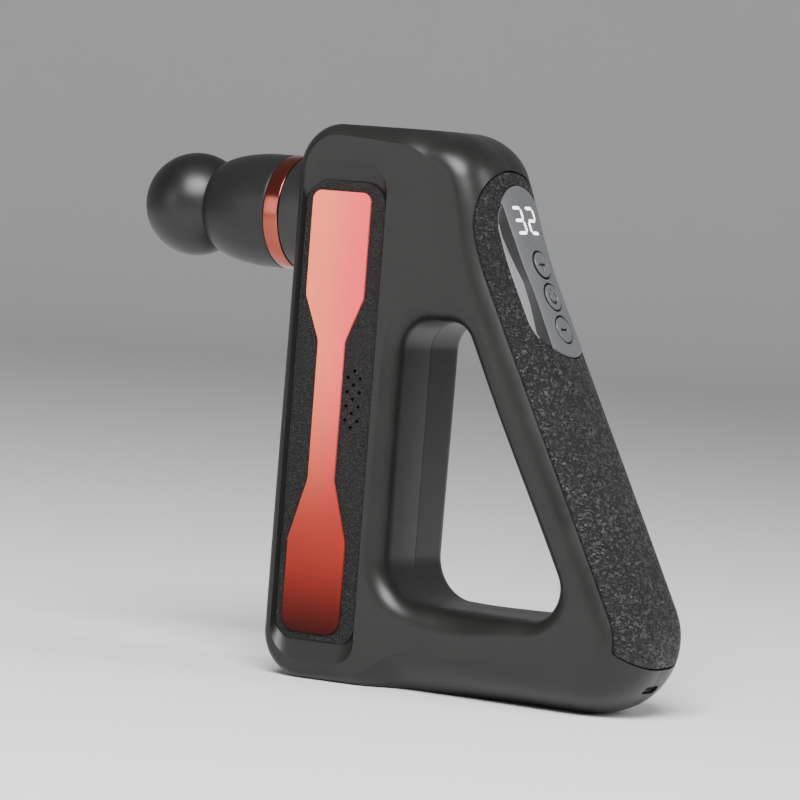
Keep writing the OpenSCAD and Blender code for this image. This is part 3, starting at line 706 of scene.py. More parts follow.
def leather(name, base, wrinkle, depth, painted_glint_gain=4.2, lower=None):
    """Grained leather: warped cells for the pebbles, creases between them and fine pores, with painted
    glints on the ridges and painted shade in the creases.

    Where lower is given the wrinkles fade to a finer grain below that height.
    """
    f = Finish(name, specular_ior_level=0.36)
    drift = f.warped(wrinkle * 1.6, wrinkle * 1.3)
    pebble = f.cells(wrinkle, place=drift).step(0.02, 0.34)
    folds = f.noise(wrinkle * 0.9, 3.0, 0.6, f.stretched((1.0, 1.0, 1.5)), 1.3).step(0.40, 0.62)
    pores = f.noise(wrinkle * 0.14, 2.0, 0.6)
    height = pebble * 0.35 + folds * 0.65 + pores * 0.10
    if lower is not None:
        calm = f.axis("Z").step(lower, lower + 0.07)
        height = height * (0.4 + calm * 0.6)
    # painted light: the ridges are lightened as painted glints and the creases darkened as painted shade
    glint_and_crease_shade = (pebble * 0.4 + folds * 0.6).step(0.30, 0.72)
    f.set("Base Color", f.blend(glint_and_crease_shade, dimmed(base, 0.12), dimmed(base, painted_glint_gain)))
    f.set("Roughness", 0.36 + (1 - glint_and_crease_shade) * 0.3 + (pores - 0.5) * 0.15)
    f.bump(height, depth)
    return f.material


def metal(name, base, roughness, grain=(1.0, 1.0, 1.0), size=0.0006, depth=0.000004, vary=0.08):
    """Machined metal: tool lines drawn out along one axis, faint smears and tarnish."""
    f = Finish(name, metallic=1.0)
    lines = f.noise(size, 3.0, 0.6, f.stretched(grain))
    smear = f.noise(0.012, 4.0, 0.6, warp=0.8)
    f.set("Base Color", f.blend(smear.step(0.3, 0.7), dimmed(base, 1 - vary), dimmed(base, 1 + vary)))
    f.set("Roughness", roughness + (lines - 0.5) * 0.14 + smear.step(0.45, 0.8) * 0.07)
    f.bump(lines, depth)
    return f.material


def lacquered_plate(name):
    """Glossy lacquer over metal whose colour runs from salmon and pink down to a dark foot.

    The mix across follows X, and the two mixes down the plate follow Z, each as a smooth step.
    """
    g = bpy.context.scene.gun_finish
    b = bpy.context.scene.gun_body
    f = Finish(name, metallic=0.0, specular_ior_level=0.1)
    x = f.axis("X")
    z = f.axis("Z")
    cloud = f.noise(0.02, 3.0, 0.55)
    front = 0.0085 - b.middle
    across = (x + (cloud - 0.5) * 0.004).step(front, front + 0.026)
    upper = f.blend(across, tuple(g.plate_light), tuple(g.plate_pink))
    climb = (z + (cloud - 0.5) * 0.01).step(b.height * 0.22, b.height * 0.62)
    middle = f.blend(climb, tuple(g.plate_red), upper)
    f.set("Base Color", f.blend(z.step(b.height * 0.06, b.height * 0.27), tuple(g.plate_dark), middle))
    fleck = f.cells(0.00022, "F1", output="Color")
    grey = f.add("ShaderNodeRGBToBW", {}, {0: fleck})
    f.set("Roughness", 0.36 + (f.noise(0.006, 4.0, 0.6) - 0.5) * 0.08 + (grey - 0.5) * 0.05)
    f.bump(f.noise(0.004, 2.0, 0.5), 0.00001)
    return f.material


def panel_finish(name, base, skin):
    """Satin plastic with painted shade on the steep facet, a darker band between the strip's border and the
    facet's border, and a painted highlight on the crescent beyond the facet's border.

    Both borders are straight lines from point to point, here as grey ramps over the distance
    down the slope, and the band lies where |y| is between them.
    """
    f = Finish(name, specular_ior_level=0.3)
    origin, down, _ = skin.panel_axes()
    x = (f.axis("X") - (origin[0] - skin.middle) * MM) * (down[0] / MM)
    x = x + (f.axis("Z") - origin[2] * MM) * (down[2] / MM)
    spot = (x + 40.0) / 80.0
    y = abs(f.axis("Y")) / MM

    def border(line):
        stops = [((px + 40) / 80, (w / 20,) * 3) for px, w in zip(*line)]
        return f.add("ShaderNodeValToRGB", {"stops": stops}, {0: spot}) * 20.0

    # painted shade: the steep facet between the two borders is darkened
    band = (y - border(STRIP)).step(-0.1, 0.15) * (1 - (y - border(FACET)).step(-0.15, 0.1))
    mottle = f.noise(0.012, 4.0, 0.6)
    fine = f.noise(0.0003, 2.0, 0.5)
    shade = f.blend(mottle.step(0.3, 0.7), dimmed(base, 0.95), dimmed(base, 1.05))
    # painted highlight: the crescent beyond the facet's border is lightened
    outer = (y - border(FACET)).step(-0.15, 0.1)
    shade = f.blend(outer, shade, dimmed(base, 1.7))
    f.set("Base Color", f.blend(band, shade, dimmed(base, 0.06)))
    f.set("Roughness", 0.34 + (mottle - 0.5) * 0.08 + (fine - 0.5) * 0.06 + band * 0.15)
    f.bump(fine, 0.000008)
    return f.material


def button_finish(name, base, skin, top):
    """Satin caps with painted shade: the pressed-in signs and the sides are darkened, following the height.

    The height is the distance along the panel's outward direction from its middle.
    """
    f = Finish(name, specular_ior_level=0.4)
    origin, _, out = skin.panel_axes()
    height = (f.axis("X") - (origin[0] - skin.middle) * MM) * (out[0] / MM)
    height = height + (f.axis("Z") - origin[2] * MM) * (out[2] / MM)
    mottle = f.noise(0.008, 4.0, 0.6)
    fine = f.noise(0.0003, 2.0, 0.5)
    # painted shade: below the top of the cap, in the signs and down the sides, the colour goes nearly black
    raised = height.step(top - 0.58, top - 0.32)
    shade = f.blend(mottle.step(0.3, 0.7), dimmed(base, 0.9), dimmed(base, 1.0))
    f.set("Base Color", f.blend(raised, dimmed(base, 0.05), shade))
    f.set("Roughness", 0.33 + (mottle - 0.5) * 0.08 + (1 - raised) * 0.3)
    f.bump(fine, 0.000006)
    return f.material


def lit_digits(name, base):
    """White light through a thin diffusing skin, a little brighter in random patches."""
    f = Finish(name, roughness=0.4, emission_strength=2.2)
    glow = f.noise(0.0012, 2.0, 0.5).step(0.2, 0.8)
    f.set("Base Color", f.blend(glow, dimmed(base, 0.75), dimmed(base, 0.85)))
    f.set("Emission Color", f.blend(glow, dimmed(base, 0.88), base))
    f.bump(f.noise(0.0002, 2.0, 0.5), 0.000004)
    return f.material


def laminations(name, base):
    """A stack of thin steel sheets: fine bands along Y with darker joints."""
    f = Finish(name, metallic=0.85)
    bands = f.add("ShaderNodeTexWave", {"bands_direction": "Y", "wave_profile": "SAW"},
                  {"Vector": f.place, "Scale": 320.0, "Distortion": 0.2}, "Fac")
    f.set("Base Color", f.blend(bands.step(0.1, 0.35), dimmed(base, 0.4), base))
    f.set("Roughness", 0.42 + (f.noise(0.0015, 3.0) - 0.5) * 0.2)
    f.bump(bands, 0.00004)
    return f.material


def wound_copper(name, base):
    """Enamelled copper wire: tight bands with shading between the turns."""
    f = Finish(name, metallic=0.9, coat_weight=0.5)
    turns = f.add("ShaderNodeTexWave", {"bands_direction": "Y"},
                  {"Vector": f.place, "Scale": 420.0, "Distortion": 0.6}, "Fac")
    f.set("Base Color", f.blend(turns.step(0.1, 0.6), dimmed(base, 0.35), base))
    f.set("Roughness", 0.28 + (f.noise(0.001, 2.0) - 0.5) * 0.2)
    f.bump(turns, 0.00012)
    return f.material


def circuit_board(name, base):
    """Solder mask over copper tracks: lighter tracks from square cells, bare spots for pads."""
    f = Finish(name)
    tracks = f.add("ShaderNodeTexBrick", {}, {"Vector": f.place, "Scale": 160.0, "Mortar Size": 0.06}, "Fac")
    pads = f.cells(0.0028, "F1").step(0.12, 0.2)
    f.set("Base Color", f.blend(pads, (0.62, 0.45, 0.16), f.blend(tracks, base, dimmed(base, 1.9))))
    f.set("Metallic", 1 - pads)
    f.set("Roughness", 0.32 + (f.noise(0.003, 3.0) - 0.5) * 0.15)
    f.bump(tracks, 0.00003)
    return f.material


def wrapped_cell(name, base):
    """Shrink film over a cell: faint lengthwise pull lines and scuffs."""
    f = Finish(name, coat_weight=0.3)
    pull = f.noise(0.0012, 3.0, 0.6, f.stretched((1.0, 1.0, 0.08)))
    scuff = f.noise(0.008, 5.0, 0.7, warp=1.0).step(0.55, 0.75)
    f.set("Base Color", f.blend(scuff, base, dimmed(base, 1.35)))
    f.set("Roughness", 0.3 + pull * 0.12 + scuff * 0.12)
    f.bump(pull, 0.00002)
    return f.material


def pale_floor(name, base):
    """Plain seamless paper with the faintest tooth."""
    f = Finish(name, roughness=0.85)
    tooth = f.noise(0.0012, 3.0, 0.6)
    f.set("Base Color", f.blend(tooth, dimmed(base, 0.985), dimmed(base, 1.01)))
    f.bump(tooth, 0.00001)
    return f.material


# ---------------------------------------------------------------------------
# Pieces
# ---------------------------------------------------------------------------
def flat_fill(outline, hole):
    """Triangles between an outline and a hole inside it, as indices into both point lists."""
    from mathutils.geometry import delaunay_2d_cdt

    count = len(outline)
    points = np.concatenate([outline, hole])
    ring = np.arange(count)
    edges = np.concatenate([np.stack([ring, (ring + 1) % count], 1),
                            np.stack([count + ring, count + (ring + 1) % count], 1)])
    found = delaunay_2d_cdt([tuple(map(float, p)) for p in points], edges.tolist(), [], 0, 1e-7)
    if len(found[0]) != len(points):
        raise RuntimeError("the roundings of the two outlines cross")
    triangles = np.array(found[2])
    place = np.array([list(p) for p in found[0]])
    origin = np.array([entry[0] for entry in found[3]])
    middle = place[triangles].mean(1)

    def within(loop):
        a, b = loop[None], np.roll(loop, -1, axis=0)[None]
        x, z = middle[:, :1], middle[:, 1:]
        spans = (a[..., 1] > z) != (b[..., 1] > z)
        with np.errstate(divide="ignore", invalid="ignore"):
            cross = a[..., 0] + (z - a[..., 1]) * (b[..., 0] - a[..., 0]) / (b[..., 1] - a[..., 1])
        return np.sum(spans & (x < cross), axis=1) % 2 == 1

    return origin[triangles[within(outline) & ~within(hole)]]


def half_shell(skin):
    """Left half of the hollow body.

    Each ring is a section at one station: out along the rim's rounding (a quarter turn), then in
    along the opening's rounding, and back the same way one wall further in. The flat side
    between the two roundings is filled with triangles.
    """
    b = sizes("gun_body")
    count = len(skin.outer.points)
    k = np.arange(count)[:, None]
    lip = b.parting + 0.35

    def section(grow, quarter, lips):
        rim = skin.rim(k, quarter, grow)
        throat = skin.throat(k, quarter[:, ::-1], grow)
        rows = []
        for at, order in ((skin.rim, 1), (skin.throat, -1)):
            edge = []
            for y, sink in lips[::order]:
                p = at(k[:, 0], 0.0, grow - sink)
                p[:, 1] = y
                edge.append(p[:, None])
            rows.append(edge)
        halves = [np.concatenate(rows[0] + [rim], axis=1), np.concatenate([throat] + rows[1], axis=1)]
        for half in halves:
            half[..., 1] = np.maximum(half[..., 1], b.parting)
        return halves

    quarter = np.linspace(0, PI / 2, 19)[None, :]
    outside = section(0.0, quarter, [(b.parting, 0.10), (b.parting + 0.1, 0.03), (lip, 0.0)])
    inside = section(-b.wall, quarter[:, ::2], [(b.parting, 0.0)])
    strips = [np.concatenate([inside[0][:, ::-1], outside[0]], 1),
              np.concatenate([outside[1], inside[1][:, ::-1]], 1)]
    size = [strip.shape[1] for strip in strips]
    rings = np.concatenate(strips, axis=1)
    faces = grid_faces(count, sum(size), close_rows=True, close_columns=True)
    column = faces[:, 0] % sum(size)
    faces = faces[(column != size[0] - 1) & (column != sum(size) - 1)].tolist()
    for first, second in ((size[0] - 1, size[0]), (0, sum(size) - 1)):
        start = np.arange(count) * sum(size)
        numbers = np.concatenate([start + first, start + second])
        fill = flat_fill(rings[:, first][:, [0, 2]], rings[:, second][:, [0, 2]])
        faces += numbers[fill].tolist()
    return mesh_object("shell_left_moulding", to_frame(rings, b.middle), faces)


def pocket_box():
    """Corners x0, z0, x1, z1 of the recess in the side of the column."""
    b = sizes("gun_body")
    return 4.0, 7.6, b.column_depth - 9.8, b.height - 14.5


def pocket_outline(inset, ends):
    """The recess outline, drawn in by inset at the sides and by ends at top and bottom."""
    x0, z0, x1, z1 = pocket_box()
    foot = 13 - ends * 0.69
    top = 12 - ends / 4
    corners = [(x0 + inset, z0 + ends, foot), (x0 + inset, z1 - ends, top),
               (x1 - inset, z1 - ends, top), (x1 - inset, z0 + ends, 8.5 - ends / 4)]
    return rounded_profile(corners, 14)


def pocket_cutter(skin):
    """The recess: straight rulings from the outline on the face to the smaller one on the floor."""
    half = skin.half
    depth = min(sizes("gun_body").pocket_depth, sizes("gun_body").wall - 0.12)
    face = pocket_outline(0, 0)
    floor = pocket_outline(1, 8)
    over = face + (face - floor) * (1.0 / depth)
    return slab("pocket_cutter", [(floor, half - depth), (over, half + 1.0)], sizes("gun_body").middle)


def capsule(origin, u, v, w, half_length, radius, low, high, flare=0.0, n=24):
    """A straight block with round ends: outline in u and v, from low to high along w."""
    a = np.linspace(-PI / 2, PI / 2, n)
    one = np.stack([half_length + radius * np.cos(a), radius * np.sin(a)], 1)
    flat = np.vstack([one, -one])
    size = np.array([low, high])
    widen = np.array([1.0, 1.0 + flare])
    rings = [origin + (flat[:, :1] * u + flat[:, 1:] * v) * s + w * h for h, s in zip(size, widen)]
    return np.stack(rings)


def grip_patch(skin, name, margin, outside, inside, edge=()):
    """The grip skin, or its recess, as a closed sheet over the back.

    The border lies across * sqrt(1 - (1 - s/L)^2) from the middle line within L of an end, so
    both ends are round. Rows run from the middle line to the border, and edge lists how far from
    the border, and how much lower, the rows of a rounded edge lie.
    """
    b = sizes("gun_body")
    begin = GRIP_START - margin
    end = GRIP_END + margin
    top = GRIP_TOP_ROUND + margin
    foot = GRIP_FOOT_ROUND + margin
    a = np.linspace(0, 1, 61)
    head = begin + top * (1 - np.cos(a * PI / 2))
    tail = end - foot * (1 - np.cos(a[::-1] * PI / 2))
    s = np.concatenate([head, np.linspace(head[-1], tail[0], 120)[1:-1], tail])
    shape = np.sqrt(np.clip(1 - np.clip(1 - (s - begin) / top, 0, 1) ** 2, 0, 1))
    shape = shape * np.sqrt(np.clip(1 - np.clip(1 - (end - s) / foot, 0, 1) ** 2, 0, 1))
    rounding = skin.outer.at(skin.outer.station(s))[2]
    swing = (skin.half - rounding[:, 1] + GRIP_REACH * rounding[:, :2].mean(1) + margin) * shape
    core = np.clip(s, begin + 0.93 * top, end - 0.93 * foot)
    away = np.hypot(s - core, swing)
    plain = np.linspace(0, 0.93, 26)
    sheets = []
    rows = [(np.broadcast_to(t, s.shape), np.full(s.shape, outside)) for t in plain]
    rows += [(1 - back / away, np.full(s.shape, outside - sink)) for back, sink in edge]
    rows += [(np.ones(s.shape), np.full(s.shape, outside - (edge[-1][1] + 0.2 if edge else 0.0)))]
    rows += [(np.ones(s.shape), np.full(s.shape, inside))]
    rows += [(np.broadcast_to(t, s.shape), np.full(s.shape, inside)) for t in plain[::-5]]
    for side in (-1, 1):
        sheet = []
        for t, grow in rows:
            k = skin.outer.station(core + (s - core) * t)
            sheet.append(skin.around(k, side * swing * t, grow))
        sheets.append(np.stack(sheet, 1))
    count, size = sheets[0].shape[:2]
    for sheet in sheets:
        sheet[:, (0, -1), 1] = 0.0
    faces = grid_faces(count, size)
    points = np.concatenate([x.reshape(-1, 3) for x in sheets])
    faces = np.concatenate([faces, faces[:, ::-1] + count * size])
    return mesh_object(name, to_frame(points, b.middle), faces, sharp=50.0)


def socket_cutter(skin):
    """The charging opening in the heel: a block with round ends."""
    angle = math.radians(-38.0)
    out = np.array([math.cos(angle), 0, math.sin(angle)])
    across = np.array([math.sin(angle), 0, -math.cos(angle)])
    origin = np.array([skin.heel[0], 0, skin.heel[1]]) + out * HEEL_RADIUS
    rings = capsule(origin, np.array([0, 1.0, 0]), across, out, 3.2, 2.1, -6.0, 3.0)
    return tube("socket_cutter", rings, skin.middle, ends=True)


def panel_cutter(skin, name, margin, low=-9.0, high=4.0):
    """The opening for the control panel: its round-ended outline carried straight through."""
    c = sizes("gun_controls")
    origin, down, out = skin.panel_axes()
    half = (c.panel_length - c.panel_width) / 2
    rings = capsule(origin + down * c.panel_shift, down, np.array([0, 1.0, 0]), out,
                    half, c.panel_width / 2 + margin, low, high, n=40)
    return tube(name, rings, skin.middle, ends=True)


def build_shells():
    """Both half shells with their recesses and openings."""
    skin = Skin()
    b = sizes("gun_body")
    h = sizes("gun_head")
    c = sizes("gun_controls")
    g = bpy.context.scene.gun_finish
    shell = half_shell(skin)
    radius = h.neck_diameter / 2
    bore = revolve("bore_cutter", [(0.0, -8.0), (0.0, 3.0), (radius, 3.0), (radius, -8.0)], h.axis_height)
    window = rounded_profile([(29.6, 98.8, 3), (29.6, 125.6, 3), (36.5, 125.6, 3), (36.5, 98.8, 3)])
    vents = slab("vent_cutter", [(window, skin.half - 4.4), (window, skin.half - 2.0)], b.middle)
    cutters = [
        pocket_cutter(skin),
        grip_patch(skin, "grip_cutter", c.groove, 3.0, -c.grip_depth - 0.06),
        panel_cutter(skin, "panel_cutter", 0.2),
        bore,
        socket_cutter(skin),
        vents,
    ]
    carve(shell, cutters, sharp=15.0)
    drop(*cutters)
    other = mirrored(shell, "shell_right_moulding")
    finish = moulded("shell_satin", tuple(g.shell), 0.38, specular_ior_level=0.36)
    finish_piece(shell, finish, "housing", "shell_black", "shell_left")
    finish_piece(other, finish, "housing", "shell_black", "shell_right")


def plate_outline():
    """Corners of the side plate: wide at both ends and waisted in between."""
    b = sizes("gun_body")
    x0, _, x1, _ = pocket_box()
    mid = (x0 + x1) / 2 - 1.6
    w, n = 26.5 / 2, 12.2 / 2
    h = b.height
    z = [18.5, 0.25 * h, 0.36 * h, 0.61 * h, 0.69 * h, h - 26.5]
    left = [(mid - w, z[0], 6), (mid - w, z[1], 8), (mid - n, z[2], 8), (mid - n, z[3], 8),
            (mid - w, z[4], 8), (mid - w, z[5], 4)]
    right = [(2 * mid - x, zz, r) for x, zz, r in left[::-1]]
    return Path([(x, zz, r, 8, 0, 0) for x, zz, r in left + right], [0] * 12, 2)


def build_side_panels():
    """Lacquered plates with a rounded edge, and the leather inlays behind them."""
    skin = Skin()
    g = bpy.context.scene.gun_finish
    b = sizes("gun_body")
    path = plate_outline()
    top = skin.half - b.pocket_depth + 1.2 + 1.0
    turn = np.linspace(0, PI / 2, 5)
    loops = [(path.points, top - 1.0)]
    loops += [(path.points - path.normals * 0.3 * (1 - math.cos(a)), top - 0.3 + 0.3 * math.sin(a))
              for a in turn]
    plate = slab("trim_plate_left_lacquered", loops, b.middle, sharp=60.0)
    other = mirrored(plate, "trim_plate_right_lacquered")
    finish = lacquered_plate("plate_lacquer")
    finish_piece(plate, finish, "housing", "trim_red", "trim_plate_left")
    finish_piece(other, finish, "housing", "trim_red", "trim_plate_right")
    fine = leather("inlay_leather", tuple(g.leather), 0.0009, 0.0005, painted_glint_gain=2.2)
    dress(fine, "side_inlay_left", "side_inlay_right")


def build_grip():
    """The leather skin round the back, with a window for the control panel."""
    skin = Skin()
    c = sizes("gun_controls")
    g = bpy.context.scene.gun_finish
    edge = [(0.9, 0.0), (0.55, 0.08), (0.3, 0.2), (0.12, 0.38)]
    grip = grip_patch(skin, "rear_grip_leather", -0.1, 0.0, -c.grip_depth, edge)
    window = panel_cutter(skin, "window_cutter", c.groove)
    carve(grip, [window], sharp=50.0, even=False)
    drop(window)
    finish = leather("grip_leather", tuple(g.leather), 0.0021, 0.0024, painted_glint_gain=3.6, lower=0.115)
    finish_piece(grip, finish, "housing", "leather_black", "rear_grip")


def build_panel():
    """The control panel: a raised strip down the middle, a steep facet and a crescent beside it.

    At each x down the slope the half outline is w = sqrt(r^2 - (|x - c| - L)^2) at the round
    ends and r between them; the strip's and the facet's borders are straight lines cut off at w.
    """
    skin = Skin()
    c = sizes("gun_controls")
    g = bpy.context.scene.gun_finish
    r = c.panel_width / 2
    half = (c.panel_length - c.panel_width) / 2
    a = np.linspace(0, PI / 2, 40)
    ends = half + r * np.sin(a)
    x = np.concatenate([-ends[::-1], np.linspace(-half, half, 60)[1:-1], ends]) + c.panel_shift
    w = np.sqrt(np.clip(r * r - np.clip(np.abs(x - c.panel_shift) - half, 0, None) ** 2, 0, None))
    strip = np.minimum(np.interp(x, *STRIP), w)
    facet = np.minimum(np.interp(x, *FACET), w)
    facet = np.maximum(facet, strip)
    room = np.clip((w - strip) / 3.0, 0, 1)
    room = room * room * (3 - 2 * room)
    low = c.panel_proud - 1.35 * room
    rim = c.panel_proud - 0.8 * room
    round_in = np.array([0.5, 0.25, 0.08, 0.0])
    round_down = np.array([0.0, 0.07, 0.22, 0.45])
    across = [(strip * t, np.full(x.shape, c.panel_proud)) for t in np.linspace(0, 0.96, 14)]
    across += [(strip - 0.15 * room, c.panel_proud - 0.0 * room)]
    across += [(strip + (facet - strip) * t, c.panel_proud + (low - c.panel_proud) * t)
               for t in (0.08, 0.5, 0.92)]
    across += [(facet + 0.1 * room, low)]
    across += [(facet + (w - facet) * t, low + (rim - low) * t) for t in (0.2, 0.4, 0.6, 0.8)]
    across = [(np.clip(y, 0, np.maximum(w - 0.5, 0)), z) for y, z in across]
    across += [(np.maximum(w - i, 0), rim - d) for i, d in zip(round_in, round_down)]
    y = np.stack([row[0] for row in across])
    step = 0.02 * w / r
    for j in range(1, len(y)):
        y[j] = np.maximum(y[j], y[j - 1] + step)
    y[-1] = w
    for j in range(len(y) - 2, 0, -1):
        y[j] = np.minimum(y[j], y[j + 1] - step)
    across = [(y[j], row[1]) for j, row in enumerate(across)]
    across += [(w, np.full(x.shape, -1.7))]
    across += [(w * t, np.full(x.shape, -1.7)) for t in (0.6, 0.3, 0.0)]
    right = np.stack([skin.over_back(x, y, z) for y, z in across], 1)
    left = right[:, ::-1] * [1, -1, 1]
    rings = np.concatenate([right, left[:, 1:-1]], 1)
    panel = tube("control_panel_raised", rings, skin.middle, sharp=30.0, ends="shut")
    origin, down, out = skin.panel_axes()
    cutters = []
    for i in range(3):
        size = c.button_diameter / 2 + c.button_gap
        centre = origin + down * i * c.button_pitch
        rings = capsule(centre, down, np.array([0, 1.0, 0]), out, 0.0, size, -8.0, 5.0, n=60)
        cutters.append(tube(f"button_cutter_{i}", rings, skin.middle, ends=True))
    carve(panel, cutters, sharp=30.0)
    drop(*cutters)
    finish = panel_finish("panel_satin", tuple(g.panel), skin)
    finish_piece(panel, finish, "housing", "panel_grey", "control_panel")


def build_digits():
    """The lit number: rounded bars that follow the panel's strip.

    A bar is a grid of t along it and v across it, its half width thinned by (1 - t^6)^(1/2).
    Each side of the strip carries one digit: side -1 is the left one and side 1 the right one.
    """
    skin = Skin()
    c = sizes("gun_controls")
    g = bpy.context.scene.gun_finish
    h, w = c.digit_height, c.digit_width
    thick = 0.115 * h
    t = np.sin(np.linspace(-PI / 2, PI / 2, 23))[:, None]
    v = np.linspace(-1, 1, 7)[None, :]
    shape = np.sqrt(np.clip(1 - np.abs(t) ** 6, 0, 1))
    points, faces = [], []
    wanted = {-1: "abcdg", 1: "abged"}
    middle = -1.36 * c.button_pitch
    for side, lit in wanted.items():
        centre = side * (w / 2 + DIGIT_GAP / 2) + DIGIT_SHIFT
        reach = w / 2 - thick / 2
        step = h / 2 - thick / 2
        bars = {"a": (-step, 0, 0), "g": (0, 0, 0), "d": (step, 0, 0), "b": (-step / 2, reach, 1),
                "c": (step / 2, reach, 1), "e": (step / 2, -reach, 1), "f": (-step / 2, -reach, 1)}
        for name in lit:
            x0, y0, upright = bars[name]
            long = (step / 2 if upright else reach) - BAR_GAP
            along, over = t * long, v * thick / 2 * shape
            x = middle + x0 + (along if upright else over)
            y = centre + y0 + (over if upright else along)
            x, y = np.broadcast_arrays(x, y)
            top = skin.over_back(x, y, c.panel_proud + 0.06)
            low = skin.over_back(x, y, c.panel_proud - 0.3)
            rings = np.concatenate([top, low[:, ::-1]], 1)
            base = sum(map(len, points))
            points.append(rings.reshape(-1, 3))
            faces.append(grid_faces(*rings.shape[:2], close_columns=True) + base)
    places = to_frame(np.concatenate(points), skin.middle)
    piece = mesh_object("display_digits_lit", places, np.concatenate(faces))
    light = lit_digits("digit_light", tuple(g.digits))
    finish_piece(piece, light, "housing", "digit_white", "display_digits")


def bar_mask(x, y, half_x, half_y, soft):
    """1 inside a straight bar and 0 outside it, with soft borders."""
    d = np.maximum(np.abs(x) - half_x, np.abs(y) - half_y)
    return np.clip(0.5 - d / soft, 0, 1)


def build_buttons():
    """Three round buttons: a dished face inside a rounded rim, with a pressed-in sign.

    The face is a height field over a disc. A square grid is turned into a disc by
    x = u sqrt(1 - v^2/2), y = v sqrt(1 - u^2/2).
    """
    skin = Skin()
    c = sizes("gun_controls")
    g = bpy.context.scene.gun_finish
    origin, down, out = skin.panel_axes()
    radius = c.button_diameter / 2
    line = np.linspace(-1, 1, KEY_GRID)
    u, v = np.meshgrid(line, line, indexing="ij")
    x = radius * u * np.sqrt(1 - v * v / 2)
    y = radius * v * np.sqrt(1 - u * u / 2)
    r = np.hypot(x, y)
    rim = np.clip((r - radius + KEY_ROUND) / KEY_ROUND, 0, 1)
    dish = -KEY_DISH * np.clip(1 - (r / (radius - 0.9)) ** 2, 0, 1) ** 0.5
    face = c.button_top - KEY_ROUND * (1 - np.sqrt(np.clip(1 - rim * rim, 0, 1))) + dish
    gap = np.clip(1 - np.abs(r - 2.35) / 0.62, 0, 1)
    opening = np.clip((-x - 0.75 * r) / 0.4 + 0.5, 0, 1)
    signs = {
        "plus": np.maximum(bar_mask(x, y, 2.5, 0.42, 0.22), bar_mask(x, y, 0.42, 2.5, 0.22)),
        "power": np.maximum(np.clip(gap * 2.2, 0, 1) * (1 - opening), bar_mask(x + 1.9, y, 1.5, 0.36, 0.22)),
        "minus": bar_mask(x, y, 0.42, 2.5, 0.22),
    }
    finish = button_finish("button_satin", tuple(g.panel), skin, c.button_top)
    for i, (name, sign) in enumerate(signs.items()):
        height = face - KEY_SIGN_DEPTH * sign
        centre = origin + down * i * c.button_pitch
        top = centre + x[..., None] * down + y[..., None] * np.array([0, 1.0, 0]) + height[..., None] * out
        last = KEY_GRID - 1
        up = np.arange(last)
        back = last - up
        border = np.concatenate([np.stack([up, 0 * up], 1), np.stack([0 * up + last, up], 1),
                                 np.stack([back, 0 * up + last], 1), np.stack([0 * up, back], 1)])
        loop = border[:, 0] * KEY_GRID + border[:, 1]
        skirt = top.reshape(-1, 3)[loop]
        depth = (skirt - centre) @ out + KEY_SKIRT
        low = skirt - depth[:, None] * out
        count = KEY_GRID ** 2
        points = np.concatenate([top.reshape(-1, 3), low])
        j = np.arange(len(loop))
        after = (j + 1) % len(loop)
        wall = np.stack([loop, loop[after], count + after, count + j], 1)
        faces = np.concatenate([grid_faces(KEY_GRID, KEY_GRID), wall])
        places = to_frame(points, skin.middle)
        piece = mesh_object(f"button_{name}_cap", places, faces, [count + j], sharp=60.0)
        finish_piece(piece, finish, f"{name}_key", "button_grey", f"button_{name}")


def build_neck():
    """Collar, trim ring and nose, each a profile turned round the head's axis."""
    h = sizes("gun_head")
    g = bpy.context.scene.gun_finish
    r = h.neck_diameter / 2
    ring = h.collar_length + h.ring_width
    z = h.axis_height
    front = h.collar_length - 0.12
    collar = rounded_profile(turned([
        (12.02, -5, 0), (r - 0.2, -5, 0), (r - 0.2, front, 0.5), (r - 3.2, front, 0),
        (r - 3.2, ring - 0.1, 0), (12.02, ring - 0.1, 0)]))
    piece = revolve("neck_collar_turned", collar, z)
    satin = moulded("collar_satin", dimmed(tuple(g.nose), 1.15), 0.4)
    finish_piece(piece, satin, "housing", "nose_black", "neck_collar")
    band = rounded_profile(turned([
        (r - 2.9, h.collar_length, 0), (r, h.collar_length, 0.35), (r, ring, 0.35), (r - 2.9, ring, 0)]))
    piece = revolve("trim_ring_polished", band, z, sides=192)
    copper = metal("ring_copper_polished", tuple(g.ring), 0.16, (1.0, 0.02, 0.02), 0.0003, 0.000002, 0.04)
    finish_piece(piece, copper, "housing", "ring_copper", "trim_ring")
    ball_z = ring + h.nose_length + 12
    swell = h.nose_length - 7.4
    cup = h.ball_diameter / 2 + 0.8
    a = np.radians(np.linspace(0, 82.5, 40))
    dome = np.stack([r - 8.7 * (1 - np.cos(a)), ring + 7.4 + swell * np.sin(a)], 1)
    lip_r, lip_f = dome[-1]
    inner = math.sqrt(cup ** 2 - (ball_z - lip_f + 1.2) ** 2)
    inside = np.linspace(math.asin((inner) / cup), math.asin(11.0 / cup), 16)
    hollow = np.stack([cup * np.sin(inside), ball_z - cup * np.cos(inside)], 1)
    hollow = hollow[hollow[:, 1] <= lip_f - 0.2]
    lip = np.array([[lip_r - 0.15, lip_f + 0.05], [lip_r - 0.45, lip_f - 0.1]])
    base = np.array([[12.1, ring + 0.1], [r - 0.45, ring + 0.1], [r - 0.12, ring + 0.22], [r, ring + 0.5]])
    straight = np.stack([np.full(6, r), np.linspace(ring + 1.5, ring + 7.0, 6)], 1)
    profile = np.concatenate([base, straight, dome, lip, hollow, [[11.0, ring + 14.0], [12.1, ring + 13.0]]])
    piece = revolve("nose_cone_turned", profile, z, sides=160)
    satin = moulded("nose_satin", tuple(g.nose), 0.42, specular_ior_level=0.4)
    finish_piece(piece, satin, "housing", "nose_black", "nose_cone")


